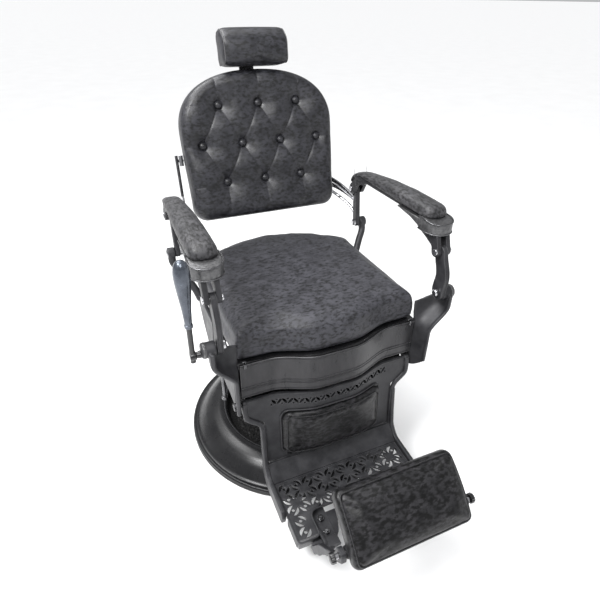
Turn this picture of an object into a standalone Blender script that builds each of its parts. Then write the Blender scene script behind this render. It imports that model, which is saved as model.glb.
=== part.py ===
"""Vintage hydraulic barber chair, in metres, +Z up.

The chair faces -Y, and the origin is the centre of the round base on the floor.
Every piece is a closed solid of its own. Moving pieces hang on an empty that stands on their joint's axis.
Left and right are as seen from in front: right-hand pieces are modelled at +X, and their left-hand twins
are mirrored from them.
"""

import math

import bmesh
import bpy
from mathutils import Matrix, Vector

# ---------------------------------------------------------------- driving dimensions
GAP = 0.0005            # clearance between pieces that touch on the real chair
WELD = 0.00001          # points closer than this are one
ROUND_STEPS = 40        # sides of a large turned piece
PIN_STEPS = 16          # sides of a pin or bolt

BASE_RADIUS = 0.344
PLATE_RADIUS = 0.313
RING_HEIGHT = 0.012
PUMP_RADIUS = 0.060
PUMP_TOP = 0.285
PISTON_RADIUS = 0.035
PISTON_TOP = 0.346

WEB_IN, WEB_OUT = 0.250, 0.262      # side frame's upright web, from the middle plane
LINK_IN, LINK_OUT = 0.290, 0.304    # plane of the front posts and of the rear links
BOSS_OUT = 0.338                    # outer face of the front pivot bosses
REAR_BOSS_OUT = 0.326
PIN_RADIUS = 0.0058
HOLE_RADIUS = 0.0068

BACK_PIVOT = (0.162, 0.618)         # y, z of the recline axis
POST_PIVOT = (-0.285, 0.598)        # y, z of the front posts' lower pins
LINK = (0.018, 0.112)               # lower pin to upper pin, the same for rear link and front post
LEG_PIVOT = (-0.262, 0.374)
PAD_PIVOT = (-0.648, 0.266)
LEVER_PIVOT = (-0.287, 0.588)
LEVER_X = -0.357

SEAT_BOTTOM, SEAT_TOP = 0.5065, 0.598
SEAT_HALF = 0.256
SEAT_REAR = 0.262
APRON_TOP, APRON_BOTTOM = 0.506, 0.400
APRON_SIDE_Y = -0.265               # front face of the apron at its ends
APRON_BULGE = 0.039                 # how far its middle stands forward of its ends

BACK_TILT = math.radians(13.3)
BACK_CENTRE = Vector((0, 0.243, 0.889))
BACK_HALF = 0.231
BACK_LOW, BACK_HIGH = -0.212, 0.195
CUSHION_FRONT, CUSHION_REAR = 0.020, -0.050
BOARD_REAR = -0.062
HEAD_PIVOT_UP = 0.250               # headrest tilt axis, along the back and behind its front face
HEAD_SLIDE_DEPTH = -0.0755

ARM_CENTRE = (LINK_IN + LINK_OUT) / 2
ARM_HALF = 0.033
ARM_TRAY_TOP = 0.785

LEG_TOP, LEG_BOTTOM = 0.386, 0.160
LEG_SHOULDER = WEB_IN - 0.0010      # half width of the leg panel at its pivots
RAIL_IN = 0.196                     # inner face of the leg rails

FOOTPAD_CENTRE = Vector((0, -0.6385, 0.3235))
FOOTPAD_SLOPE = math.radians(43.5)
FOOTPAD_HALF = (0.150, 0.082)

BACK_PIN = (BACK_PIVOT[0] + LINK[0], BACK_PIVOT[1] + LINK[1])
POST_PIN = (POST_PIVOT[0] + LINK[0], POST_PIVOT[1] + LINK[1])

# Colour, roughness, metallic.
MATERIALS = {
    "cast_pewter": ((0.085, 0.082, 0.080), 0.38, 0.9),
    "hammered_silver": ((0.42, 0.41, 0.40), 0.35, 1.0),
    "dark_chrome": ((0.34, 0.35, 0.37), 0.12, 1.0),
    "bright_chrome": ((0.75, 0.75, 0.76), 0.08, 1.0),
    "black_enamel": ((0.012, 0.012, 0.013), 0.25, 0.0),
    "blued_steel": ((0.10, 0.11, 0.13), 0.22, 0.9),
    "black_rubber": ((0.015, 0.015, 0.015), 0.8, 0.0),
    "charcoal_leather": ((0.045, 0.046, 0.050), 0.55, 0.0),
    "painted_board": ((0.03, 0.03, 0.03), 0.6, 0.0),
}


# ---------------------------------------------------------------- scene and helpers
def clear_scene():
    for obj in list(bpy.data.objects):
        bpy.data.objects.remove(obj)


def make_collection(name, helper=False):
    collection = bpy.data.collections.new(name)
    bpy.context.scene.collection.children.link(collection)
    collection.hide_render = helper
    return collection


def material(name):
    found = bpy.data.materials.get(name)
    if found:
        return found
    colour, roughness, metallic = MATERIALS[name]
    made = bpy.data.materials.new(name)
    made.use_nodes = True
    shader = made.node_tree.nodes["Principled BSDF"]
    shader.inputs["Base Color"].default_value = (*colour, 1)
    shader.inputs["Roughness"].default_value = roughness
    shader.inputs["Metallic"].default_value = metallic
    made.diffuse_color = (*colour, 1)
    return made


def helper_object(name, data):
    obj = bpy.data.objects.new(name, data)
    HELPERS.objects.link(obj)
    obj.hide_render = True
    obj.display_type = "WIRE"
    return obj


def baked(helper):
    """The helper's evaluated shape as one welded mesh in world space; the helper is removed."""
    bpy.context.view_layer.update()
    graph = bpy.context.evaluated_depsgraph_get()
    mesh = bpy.data.meshes.new_from_object(helper.evaluated_get(graph))
    mesh.transform(helper.matrix_world)
    bpy.data.objects.remove(helper)
    shape = bmesh.new()
    shape.from_mesh(mesh)
    bmesh.ops.remove_doubles(shape, verts=shape.verts, dist=WELD)
    bmesh.ops.recalc_face_normals(shape, faces=shape.faces)
    shape.to_mesh(mesh)
    shape.free()
    return mesh


def combined(first, others, operation="UNION"):
    """The first mesh with the others joined to it, or cut from it, by exact Booleans."""
    body = helper_object("body", first)
    tools = [helper_object("tool", mesh) for mesh in others]
    for tool in tools:
        cut = body.modifiers.new(operation, "BOOLEAN")
        cut.operation = operation
        cut.object = tool
    mesh = baked(body)
    for tool in tools:
        bpy.data.objects.remove(tool)
    return mesh


def joined(first, *others):
    return combined(first, others)


def cut(first, *others):
    return combined(first, others, "DIFFERENCE")


def mirrored(mesh):
    """A copy of the mesh on the other side of the middle plane."""
    copy = mesh.copy()
    copy.transform(Matrix.Scale(-1, 4, (1, 0, 0)))
    copy.flip_normals()
    return copy


def node(name, mesh, look, body):
    """Makes the mesh a named piece of the chair, hung on its body's empty."""
    obj = bpy.data.objects.new(name, mesh)
    PARTS.objects.link(obj)
    mesh.name = name
    mesh.materials.clear()
    mesh.materials.append(material(look))
    mesh.shade_smooth()
    mesh.set_sharp_from_angle(angle=math.radians(35))
    pivot = PIVOTS[body]
    mesh.transform(Matrix.Translation(-pivot.matrix_world.translation))
    obj.parent = pivot
    return obj


def pair(name, mesh, look, body):
    """The piece on the right and its mirrored twin on the left."""
    sided = body + "_left" in PIVOTS
    node(name + "_left", mirrored(mesh), look, body + "_left" if sided else body)
    node(name + "_right", mesh, look, body + "_right" if sided else body)


def make_pivot(name, place, parent=None):
    pivot = bpy.data.objects.new(name + "_pivot", None)
    PARTS.objects.link(pivot)
    pivot.empty_display_size = 0.05
    pivot.location = Vector(place)
    if parent:
        pivot.parent = PIVOTS[parent]
        pivot.location -= PIVOTS[parent].matrix_world.translation
    bpy.context.view_layer.update()
    PIVOTS[name] = pivot


# ---------------------------------------------------------------- shapes
def smoothstep(t):
    t = min(max(t, 0), 1)
    return t * t * (3 - 2 * t)


def filleted(corners, segments=3):
    """An outline from (a, b, radius) corners, each rounded by an arc."""
    points = []
    count = len(corners)
    for i, (a, b, radius) in enumerate(corners):
        here = Vector((a, b))
        if radius <= 0:
            points.append(here)
            continue
        before = (Vector(corners[i - 1][:2]) - here).normalized()
        after = (Vector(corners[(i + 1) % count][:2]) - here).normalized()
        half = before.angle(after) / 2
        centre = here + (before + after).normalized() * radius / math.sin(half)
        start = here + before * radius / math.tan(half) - centre
        end = here + after * radius / math.tan(half) - centre
        sweep = math.atan2(start.x * end.y - start.y * end.x, start.dot(end))
        for step in range(segments + 1):
            points.append(centre + Matrix.Rotation(sweep * step / segments, 2) @ start)
    return points


def circle(a, b, radius, steps=PIN_STEPS):
    turns = [2 * math.pi * i / steps for i in range(steps)]
    return [Vector((a + radius * math.cos(t), b + radius * math.sin(t))) for t in turns]


# How an outline's own axes lie in the world: "X" is an outline in Y and Z, and so on.
FACING = {
    "X": Matrix(((0, 0, 1), (1, 0, 0), (0, 1, 0))).to_4x4(),
    "Y": Matrix(((1, 0, 0), (0, 0, -1), (0, 1, 0))).to_4x4(),
    "Z": Matrix.Identity(4),
}


def plate(loops, low, high, facing="Z", bevel=0.0, frame=None):
    """A flat outline with holes, from low to high along its facing axis, with rounded rims.

    For facing "Y" low and high count towards the front, that is along -Y.
    """
    curve = bpy.data.curves.new("outline", "CURVE")
    curve.dimensions = "2D"
    curve.fill_mode = "BOTH"
    curve.extrude = (high - low) / 2 - bevel
    curve.bevel_depth = bevel
    curve.bevel_resolution = 1 if bevel > 0.004 else 0
    curve.offset = -bevel
    for loop in loops:
        spline = curve.splines.new("POLY")
        spline.points.add(len(loop) - 1)
        for point, place in zip(spline.points, loop):
            point.co = (place[0], place[1], 0, 1)
        spline.use_cyclic_u = True
    obj = helper_object("outline", curve)
    lift = Matrix.Translation((0, 0, (low + high) / 2))
    obj.matrix_world = (frame or FACING[facing]) @ lift
    return baked(obj)


def turned(profile, steps=ROUND_STEPS, closed=False, facing="Z", at=(0, 0, 0)):
    """A profile of (radius, height) points, from the top of its outer side down, turned about an axis."""
    mesh = bpy.data.meshes.new("profile")
    edges = [(i, i + 1) for i in range(len(profile) - 1)]
    if closed:
        edges.append((len(profile) - 1, 0))
    mesh.from_pydata([(radius, 0, height) for radius, height in profile], edges, [])
    obj = helper_object("profile", mesh)
    screw = obj.modifiers.new("turn", "SCREW")
    screw.steps = screw.render_steps = steps
    screw.use_merge_vertices = True
    screw.merge_threshold = 0.00005
    obj.matrix_world = Matrix.Translation(at) @ FACING[facing]
    return baked(obj)


def rod(radius, low, high, at, facing="X", steps=PIN_STEPS):
    """A round bar along an axis, from low to high on it; at gives its other two coordinates."""
    place = {"X": (0, *at), "Z": (*at, 0)}[facing]
    profile = [(0, high), (radius, high), (radius, low), (0, low)]
    return turned(profile, steps, facing=facing, at=place)


def tube(points, radius, resolution=2):
    """A round bar along a smooth route, with closed ends."""
    curve = bpy.data.curves.new("route", "CURVE")
    curve.dimensions = "3D"
    curve.bevel_depth = radius
    curve.bevel_resolution = resolution
    curve.use_fill_caps = True
    spline = curve.splines.new("POLY")
    spline.points.add(len(points) - 1)
    for point, place in zip(spline.points, points):
        point.co = (*place, 1)
    return baked(helper_object("route", curve))


def bent(points, steps=3):
    """A smooth route through the given points."""
    points = [Vector(p) for p in points]
    ends = [points[0] * 2 - points[1], *points, points[-1] * 2 - points[-2]]
    route = []
    for i in range(1, len(ends) - 2):
        a, b, c, d = ends[i - 1 : i + 3]
        for step in range(steps):
            t = step / steps
            route.append(
                0.5 * (2 * b + (c - a) * t + (2 * a - 5 * b + 4 * c - d) * t * t
                       + (3 * b - a - 3 * c + d) * t ** 3)
            )
    route.append(points[-1])
    return route


def sheet(columns, rows, place, thickness, offset=-1.0):
    """A curved sheet: place(i, j) gives each grid point, and Solidify gives the thickness."""
    mesh = bpy.data.meshes.new("sheet")
    points = [place(i, j) for j in range(rows + 1) for i in range(columns + 1)]
    faces = [
        (j * (columns + 1) + i, j * (columns + 1) + i + 1,
         (j + 1) * (columns + 1) + i + 1, (j + 1) * (columns + 1) + i)
        for j in range(rows)
        for i in range(columns)
    ]
    mesh.from_pydata(points, [], faces)
    obj = helper_object("sheet", mesh)
    solid = obj.modifiers.new("thickness", "SOLIDIFY")
    solid.thickness = thickness
    solid.offset = offset
    solid.use_even_offset = True
    return baked(obj)


def lofted(rings):
    """A solid through closed rings of equally many points, with flat ends."""
    count = len(rings[0])
    points = [point for ring in rings for point in ring]
    faces = [list(range(count)), list(range(len(points) - count, len(points)))]
    for k in range(len(rings) - 1):
        for i in range(count):
            j = (i + 1) % count
            faces.append([k * count + i, k * count + j, (k + 1) * count + j, (k + 1) * count + i])
    mesh = bpy.data.meshes.new("loft")
    mesh.from_pydata(points, [], faces)
    return baked(helper_object("loft", mesh))


def block(size, at, bevel=0.0, turn=None):
    """A box of the given size about a point, with rounded edges."""
    bpy.ops.mesh.primitive_cube_add(size=1)
    obj = bpy.context.object
    for collection in list(obj.users_collection):
        collection.objects.unlink(obj)
    HELPERS.objects.link(obj)
    obj.hide_render = True
    obj.data.transform(Matrix.Diagonal((*size, 1)))
    if bevel:
        rounding = obj.modifiers.new("edges", "BEVEL")
        rounding.width = bevel
        rounding.segments = 3
    obj.matrix_world = Matrix.Translation(at) @ (turn or Matrix.Identity(4))
    return baked(obj)


def serpentine(x, bulge=APRON_BULGE):
    """Front face of the apron seen from above: flat ends and a middle that stands forward."""
    return APRON_SIDE_Y - bulge * smoothstep((0.175 - abs(x)) / 0.13)


def back_frame():
    """The leaning back's own axes: x across, y up along it, z out of its front face."""
    up = Vector((0, math.sin(BACK_TILT), math.cos(BACK_TILT)))
    out = Vector((0, -math.cos(BACK_TILT), math.sin(BACK_TILT)))
    axes = Matrix((Vector((1, 0, 0)), up, out)).transposed().to_4x4()
    return Matrix.Translation(BACK_CENTRE) @ axes


def footpad_frame():
    """The foot pad's own axes: x across, y up its slope, z out of its padded face."""
    up = Vector((0, math.cos(FOOTPAD_SLOPE), math.sin(FOOTPAD_SLOPE)))
    out = Vector((0, -math.sin(FOOTPAD_SLOPE), math.cos(FOOTPAD_SLOPE)))
    axes = Matrix((Vector((1, 0, 0)), up, out)).transposed().to_4x4()
    return Matrix.Translation(FOOTPAD_CENTRE) @ axes


# ---------------------------------------------------------------- base and pump
def make_base():
    floor_plate = [(0, 0.006), (PLATE_RADIUS, 0.006), (PLATE_RADIUS, 0), (0, 0)]
    node("base_plate", turned(floor_plate), "cast_pewter", "base")

    ring_in = PLATE_RADIUS + GAP
    ring = [
        (ring_in, RING_HEIGHT), (BASE_RADIUS - 0.002, RING_HEIGHT), (BASE_RADIUS, 0.009),
        (BASE_RADIUS, 0.002), (BASE_RADIUS - 0.002, 0), (ring_in, 0),
    ]
    node("base_rubber_ring", turned(ring, closed=True), "black_rubber", "base")

    hub = PUMP_RADIUS + 0.0035
    top = [
        (hub, 0.064), (0.084, 0.064), (0.088, 0.036), (0.100, 0.031), (0.200, 0.031),
        (0.216, 0.036), (0.224, 0.050), (0.227, 0.064), (0.236, 0.073), (0.252, 0.0755),
        (0.275, 0.068), (0.295, 0.054), (0.311, 0.038), (0.323, 0.024), (0.331, 0.0195),
        (0.339, 0.022), (BASE_RADIUS - 0.0005, 0.017), (BASE_RADIUS - 0.0005, RING_HEIGHT + GAP),
    ]
    under = [
        (0.317, RING_HEIGHT + GAP), (0.304, 0.032), (0.289, 0.047), (0.272, 0.060),
        (0.252, 0.067), (0.240, 0.065), (0.2345, 0.060), (0.232, 0.048), (0.222, 0.030),
        (0.202, 0.023), (0.078, 0.023), (0.078, 0.0075), (hub, 0.0075),
    ]
    node("base_dish", turned(top + under, closed=True), "cast_pewter", "base")


def make_pump():
    bore = PISTON_RADIUS + 0.0008
    foot = PUMP_RADIUS + 0.0025
    body = turned(
        [(0, PUMP_TOP), (PUMP_RADIUS, PUMP_TOP), (PUMP_RADIUS, 0.075), (foot, 0.072),
         (foot, 0.0075), (0, 0.0075)], 32)
    bored = cut(body, rod(bore, 0.045, PUMP_TOP + 0.01, (0, 0), "Z", 32))
    node("pump_cylinder", bored, "black_enamel", "base")
    seal = [
        (bore, 0.300), (0.050, 0.300), (0.056, 0.295), (0.056, PUMP_TOP + GAP),
        (bore, PUMP_TOP + GAP),
    ]
    node("pump_seal_ring", turned(seal, 32, closed=True), "black_rubber", "base")
    piston = rod(PISTON_RADIUS, 0.055, PISTON_TOP, (0, 0), "Z", 32)
    node("lift_piston", piston, "bright_chrome", "column")


# ---------------------------------------------------------------- seat and its frame
def make_swivel():
    bore = PISTON_RADIUS + 0.0008
    cap = turned(
        [(0, 0.372), (0.085, 0.372), (0.085, 0.364), (0.055, 0.352), (0.055, 0.318),
         (0, 0.318)], 32)
    socket = rod(bore, 0.30, PISTON_TOP + GAP, (0, 0), "Z", 32)
    node("swivel_hub", cut(cap, socket), "cast_pewter", "seat")

    wide, narrow, front, rear = WEB_IN - 0.0008, 0.075, -0.225, 0.062
    outline = filleted([
        (-wide, front, 0.01), (wide, front, 0.01), (wide, front + 0.07, 0.01),
        (narrow, -0.08, 0.03), (narrow, -0.01, 0.03), (wide, rear - 0.05, 0.01),
        (wide, rear, 0.01), (-wide, rear, 0.01), (-wide, rear - 0.05, 0.01),
        (-narrow, -0.01, 0.03), (-narrow, -0.08, 0.03), (-wide, front + 0.07, 0.01),
    ])
    node("seat_spider", plate([outline], 0.3725, 0.3905, bevel=0.003), "cast_pewter", "seat")
    tie = rod(0.011, -wide, wide, (0.060, 0.440))
    node("rear_tie_bar", tie, "cast_pewter", "seat")
    lock = turned(
        [(0, 0.030), (0.006, 0.030), (0.007, 0.026), (0.007, -0.020), (0.014, -0.024),
         (0.016, -0.028), (0.016, -0.123), (0.012, -0.128), (0, -0.128)], 20,
        facing="Y", at=(-0.13, -0.08, 0.432))
    node("recline_lock_cylinder", lock, "bright_chrome", "seat")


def flare(i, j, columns, rows):
    """Inner face of the side frame's front channel, which widens upwards around the post's foot."""
    s = i / columns
    z = 0.352 + (0.212 + 0.032 * smoothstep(s)) * j / rows
    wide = smoothstep((z - 0.490) / (0.562 - 0.490))
    start = Vector((WEB_IN, -0.258, z))
    back = Vector((0.256 + 0.050 * wide, -0.276 + 0.022 * wide, z))
    side = Vector((0.262 + 0.057 * wide, -0.290 + 0.026 * wide, z))
    rim = Vector((0.268 + 0.049 * wide, -0.312, z))
    r = 1 - s
    return start * r ** 3 + back * 3 * r * r * s + side * 3 * r * s * s + rim * s ** 3


def make_side_frames():
    web = plate([filleted([
        (-0.256, 0.500, 0), (0.105, 0.502, 0.01), (0.122, 0.486, 0.01), (0.075, 0.420, 0.05),
        (0.020, 0.368, 0.03), (-0.205, 0.362, 0.03), (-0.250, 0.352, 0),
    ])], WEB_IN, WEB_OUT, "X", bevel=0.0015)
    bridge = tube(bent([
        (0.258, 0.088, 0.488), (0.271, 0.110, 0.522), (0.296, 0.136, 0.562),
        (0.314, 0.152, 0.590), (0.316, 0.160, 0.612),
    ]), 0.0110)
    rear_boss = rod(0.0165, LINK_OUT + 0.0006, REAR_BOSS_OUT, BACK_PIVOT)
    columns, rows = 10, 14
    channel = sheet(columns, rows, lambda i, j: flare(i, j, columns, rows), 0.007)
    low_centre = (POST_PIVOT[0], POST_PIVOT[1] - 0.004)
    front_boss = rod(0.0180, LINK_OUT + 0.0006, BOSS_OUT, low_centre, steps=20)
    frame = joined(web, channel, bridge, rear_boss, front_boss)
    frame = cut(frame, rod(HOLE_RADIUS, 0.20, 0.35, LEG_PIVOT))
    pair("side_frame", frame, "cast_pewter", "seat")

    for name, place in (("back_pivot_bolt", BACK_PIVOT), ("post_pivot_bolt", POST_PIVOT)):
        bolt = turned(
            [(0, LINK_OUT + 0.0003), (PIN_RADIUS, LINK_OUT + 0.0003),
             (PIN_RADIUS, LINK_IN - 0.0008), (0.0105, LINK_IN - 0.0008),
             (0.0105, 0.2835), (0.007, 0.2805), (0, 0.2805)],
            PIN_STEPS, facing="X", at=(0, *place))
        pair(name, bolt, "bright_chrome", "seat")


def make_apron():
    half, columns = WEB_IN - 0.0015, 36

    def place(i, j):
        x = -half + 2 * half * i / columns
        return Vector((x, serpentine(x), APRON_BOTTOM + (APRON_TOP - APRON_BOTTOM) * j))

    node("apron", sheet(columns, 1, place, 0.009), "cast_pewter", "seat")


def seat_outline(inset, columns=20, arc_steps=16):
    """The seat from above: serpentine front, nearly straight sides and a round back."""
    half = SEAT_HALF - inset
    front = [
        Vector((x, serpentine(x) + 0.024 + inset))
        for x in (half * (2 * i / columns - 1) for i in range(columns + 1))
    ]
    corner = 0.135
    depth = SEAT_REAR - inset - corner
    radius = (half ** 2 + depth ** 2) / (2 * depth)
    spread = math.asin(half / radius)
    middle = SEAT_REAR - inset - radius
    turns = [spread * (1 - 2 * i / arc_steps) for i in range(arc_steps + 1)]
    back = [Vector((radius * math.sin(a), middle + radius * math.cos(a))) for a in turns]
    return front + back


def make_seat():
    board = plate([seat_outline(0.012)], 0.4935, SEAT_BOTTOM - GAP)
    node("seat_board", board, "painted_board", "seat")
    cushion = plate([seat_outline(0)], SEAT_BOTTOM, SEAT_TOP, bevel=0.022)
    node("seat_cushion", cushion, "charcoal_leather", "seat")


# ---------------------------------------------------------------- back and headrest
def back_outline(inset, steps=10):
    """The arched back: straight sides, a flattened round top and small lower corners."""
    half, low, high = BACK_HALF - inset, BACK_LOW + inset, BACK_HIGH - inset
    spring, power = 0.035, 2.35
    arch = []
    for i in range(2 * steps + 1):
        c, s = math.cos(math.pi * i / (2 * steps)), math.sin(math.pi * i / (2 * steps))
        across = math.copysign(abs(c) ** (2 / power), c) * half
        arch.append(Vector((across, spring + abs(s) ** (2 / power) * (high - spring))))
    foot = filleted([
        (-half, spring - 0.02, 0), (-half + 0.008, low, 0.036), (0, low + 0.006, 0),
        (half - 0.008, low, 0.036), (half, spring - 0.02, 0),
    ])
    return arch + foot


def make_back():
    frame = back_frame()
    board = plate([back_outline(0.006)], BOARD_REAR, CUSHION_REAR - 0.0015, frame=frame)
    node("back_board", board, "painted_board", "backrest")
    cushion = plate([back_outline(0)], CUSHION_REAR, CUSHION_FRONT, bevel=0.020, frame=frame)
    node("back_cushion", cushion, "charcoal_leather", "backrest")
    make_back_arms(frame)


def make_back_arms(frame):
    """Each arm: a link between its two pins, a broad bar and a round stay, and an upright on the back."""
    link = plate([filleted([
        (BACK_PIVOT[0] - 0.014, BACK_PIVOT[1] - 0.013, 0.0115),
        (BACK_PIVOT[0] + 0.013, BACK_PIVOT[1] - 0.013, 0.0115),
        (BACK_PIN[0] + 0.012, BACK_PIN[1] + 0.012, 0.0100),
        (BACK_PIN[0] - 0.012, BACK_PIN[1] + 0.012, 0.0100),
    ]), circle(*BACK_PIVOT, HOLE_RADIUS), circle(*BACK_PIN, HOLE_RADIUS)],
        LINK_IN, LINK_OUT, "X", bevel=0.0015)
    side = BACK_HALF + 0.0145
    columns = 8
    start = frame @ Vector((side, -0.150, -0.056))
    bend = Vector((side + 0.020, start.y - 0.030, start.z - 0.004))
    end = Vector((LINK_IN + 0.004, BACK_PIN[0] - 0.006, BACK_PIN[1] - 0.038))

    def place(i, j):
        s = i / columns
        middle = start.lerp(bend, s).lerp(bend.lerp(end, s), s)
        return middle + Vector((0, 0, 0.016 * (1 - 0.5 * s) * (2 * j - 1)))

    bar = sheet(columns, 1, place, 0.006, offset=0)
    upright = tube(bent([frame @ Vector((side, up, -0.056)) for up in (-0.185, -0.10, -0.02)]), 0.0055)
    stay = tube(bent([
        frame @ Vector((side, -0.180, -0.054)), (0.268, 0.236, 0.684), (0.288, 0.200, 0.664),
        (0.297, 0.172, 0.640),
    ]), 0.0052)
    anchor = tube([
        frame @ Vector((side, -0.035, -0.0565)), frame @ Vector((BACK_HALF - 0.0045, -0.035, -0.0565)),
    ], 0.0040)
    pair("back_arm", joined(link, bar, upright, stay, anchor), "dark_chrome", "backrest")


def make_headrest():
    frame = back_frame()
    slide = HEAD_SLIDE_DEPTH
    socket = cut(block((0.080, 0.080, 0.0240), (0, 0.125, slide), bevel=0.002),
                 block((0.0456, 0.200, 0.0078), (0, 0.125, slide)))
    socket.transform(frame)
    node("headrest_socket", socket, "cast_pewter", "backrest")

    hinge_up = HEAD_PIVOT_UP
    barrel = turned(
        [(0, 0.034), (0.006, 0.034), (0.006, -0.034), (0, -0.034)], PIN_STEPS,
        facing="X", at=(0, hinge_up, slide))
    bar = joined(block((0.044, 0.195, 0.006), (0, hinge_up - 0.0975, slide), bevel=0.0015), barrel)
    bar.transform(frame)
    node("headrest_bar", bar, "dark_chrome", "headrest_bar")

    back = block((0.172, 0.070, 0.005), (0, 0.250, -0.0400), bevel=0.0015)
    ears = [
        cut(block((0.008, 0.026, 0.050), (side * 0.0280, hinge_up, -0.0640), bevel=0.002),
            turned([(0, 0.05), (HOLE_RADIUS, 0.05), (HOLE_RADIUS, -0.05), (0, -0.05)], PIN_STEPS,
                   facing="X", at=(0, hinge_up, slide)))
        for side in (-1, 1)
    ]
    shell = joined(back, *ears)
    shell.transform(frame)
    node("headrest_shell", shell, "cast_pewter", "headrest")

    outline = filleted([
        (0.034, 0.205, 0.016), (0.042, 0.264, 0.034), (0.010, 0.298, 0.030),
        (-0.0370, 0.292, 0.012), (-0.0370, 0.208, 0.008),
    ], 5)
    across = Matrix(((0, 0, -1), (0, 1, 0), (1, 0, 0))).to_4x4()
    pad = plate([outline], -0.094, 0.094, bevel=0.006, frame=frame @ across)
    node("headrest_cushion", pad, "charcoal_leather", "headrest")


# ---------------------------------------------------------------- armrests and posts
def armrest_station(route, i):
    """Point and upward normal on the line along the armrest pad's underside."""
    here = Vector(route[i][:2])
    before, after = Vector(route[max(i - 1, 0)][:2]), Vector(route[min(i + 1, len(route) - 1)][:2])
    along = (after - before).normalized()
    return here, Vector((-along.y, along.x))


def make_armrest_pad():
    # y, z of the underside, half width, thickness
    route = [
        (-0.2375, 0.7905, 0.016, 0.010), (-0.2340, 0.7875, 0.025, 0.020),
        (-0.2200, 0.7862, 0.031, 0.028), (-0.1900, 0.7862, 0.0335, 0.031), (-0.1000, 0.7862, 0.0335, 0.032),
        (0.0000, 0.7862, 0.0310, 0.026), (0.0800, 0.7862, 0.0270, 0.016), (0.1250, 0.7850, 0.0240, 0.011),
        (0.1530, 0.7790, 0.0220, 0.010), (0.1740, 0.7680, 0.0205, 0.010), (0.1860, 0.7540, 0.0190, 0.009),
        (0.1895, 0.7440, 0.0170, 0.007),
    ]
    section = [
        (-0.96, 0), (-1, 0.18), (-0.96, 0.48), (-0.80, 0.78), (-0.52, 0.94), (0, 1),
        (0.52, 0.94), (0.80, 0.78), (0.96, 0.48), (1, 0.18), (0.96, 0),
    ]
    rings = []
    for i, (_, _, half, depth) in enumerate(route):
        here, normal = armrest_station(route, i)
        rings.append([
            Vector((ARM_CENTRE + across * half, *(here + normal * (up * depth)))) for across, up in section
        ])
    pair("armrest_pad", lofted(rings), "charcoal_leather", "armrest")


def make_armrests():
    tray = plate([filleted([
        (-0.200, 0.7735, 0), (0.120, 0.7735, 0.03), (0.152, 0.7660, 0.01),
        (0.156, 0.7765, 0.003), (0.125, 0.7845, 0.03), (-0.200, 0.7845, 0),
    ])], ARM_CENTRE - 0.022, ARM_CENTRE + 0.022, "X", bevel=0.0015)
    rear_cheek = filleted([
        (0.085, 0.778, 0.002), (0.105, 0.764, 0.02), (0.148, 0.752, 0.02),
        (BACK_PIN[0] - 0.013, BACK_PIN[1] - 0.014, 0.011), (BACK_PIN[0] + 0.011, BACK_PIN[1] - 0.014, 0.011),
        (BACK_PIN[0] + 0.009, BACK_PIN[1] + 0.011, 0.009), (0.164, 0.7650, 0.02), (0.146, 0.7745, 0.02),
    ])
    front_cheek = filleted([
        (-0.150, 0.778, 0), (-0.199, 0.778, 0), (-0.199, 0.7512, 0), (-0.262, 0.7512, 0),
        (POST_PIN[0] - 0.015, POST_PIN[1] - 0.014, 0.012), (POST_PIN[0] + 0.014, POST_PIN[1] - 0.014, 0.012),
        (POST_PIN[0] + 0.020, POST_PIN[1] + 0.010, 0.010), (-0.218, 0.733, 0.010), (-0.185, 0.744, 0.02),
        (-0.160, 0.762, 0.02),
    ])
    cheeks = [
        plate([outline], low, low + 0.0120, "X")
        for outline in (rear_cheek, front_cheek)
        for low in (LINK_IN - 0.0130, LINK_OUT + 0.0010)
    ]
    pins = [rod(PIN_RADIUS, LINK_IN - 0.0080, LINK_OUT + 0.0080, at) for at in (BACK_PIN, POST_PIN)]
    pair("armrest_rail", joined(tray, *cheeks, *pins), "cast_pewter", "armrest")

    low_x, high_x = ARM_CENTRE - ARM_HALF - 0.004, ARM_CENTRE + ARM_HALF + 0.004
    cap = plate([filleted([
        (low_x, -0.2045, 0), (low_x, -0.268, 0.034), (high_x, -0.268, 0.034), (high_x, -0.2045, 0),
    ], 6)], 0.7520, ARM_TRAY_TOP, bevel=0.003)
    pair("armrest_cap", cap, "hammered_silver", "armrest")


def make_posts():
    low, high = POST_PIVOT, POST_PIN
    outline = filleted([
        (low[0] - 0.020, low[1] - 0.020, 0.0190), (low[0] + 0.019, low[1] - 0.019, 0.0180),
        (low[0] + 0.024, low[1] + 0.045, 0.05), (high[0] + 0.015, high[1] - 0.030, 0.05),
        (high[0] + 0.0135, high[1] + 0.0135, 0.0125), (high[0] - 0.0135, high[1] + 0.0135, 0.0125),
        (high[0] - 0.026, high[1] - 0.040, 0.05), (low[0] - 0.014, low[1] + 0.040, 0.05),
    ])
    loops = [outline, circle(*low, HOLE_RADIUS), circle(*high, HOLE_RADIUS)]
    pair("front_post", plate(loops, LINK_IN, LINK_OUT, "X", bevel=0.002), "cast_pewter", "post")


# ---------------------------------------------------------------- leg rest and foot pad
def leg_front(x, z):
    """Front face of the leg panel: it keeps the apron's serpentine, fading and leaning forward below."""
    drop = (LEG_TOP - z) / (LEG_TOP - LEG_BOTTOM)
    return serpentine(x, 0.034 * (1 - 0.55 * drop)) - 0.001 - 0.022 * drop


def leg_half(z):
    """Half width of the leg panel: broad shoulders at the top, narrower between the rails."""
    return RAIL_IN - 0.0010 + (LEG_SHOULDER - RAIL_IN) * smoothstep((z - 0.302) / (0.326 - 0.302))


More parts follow.
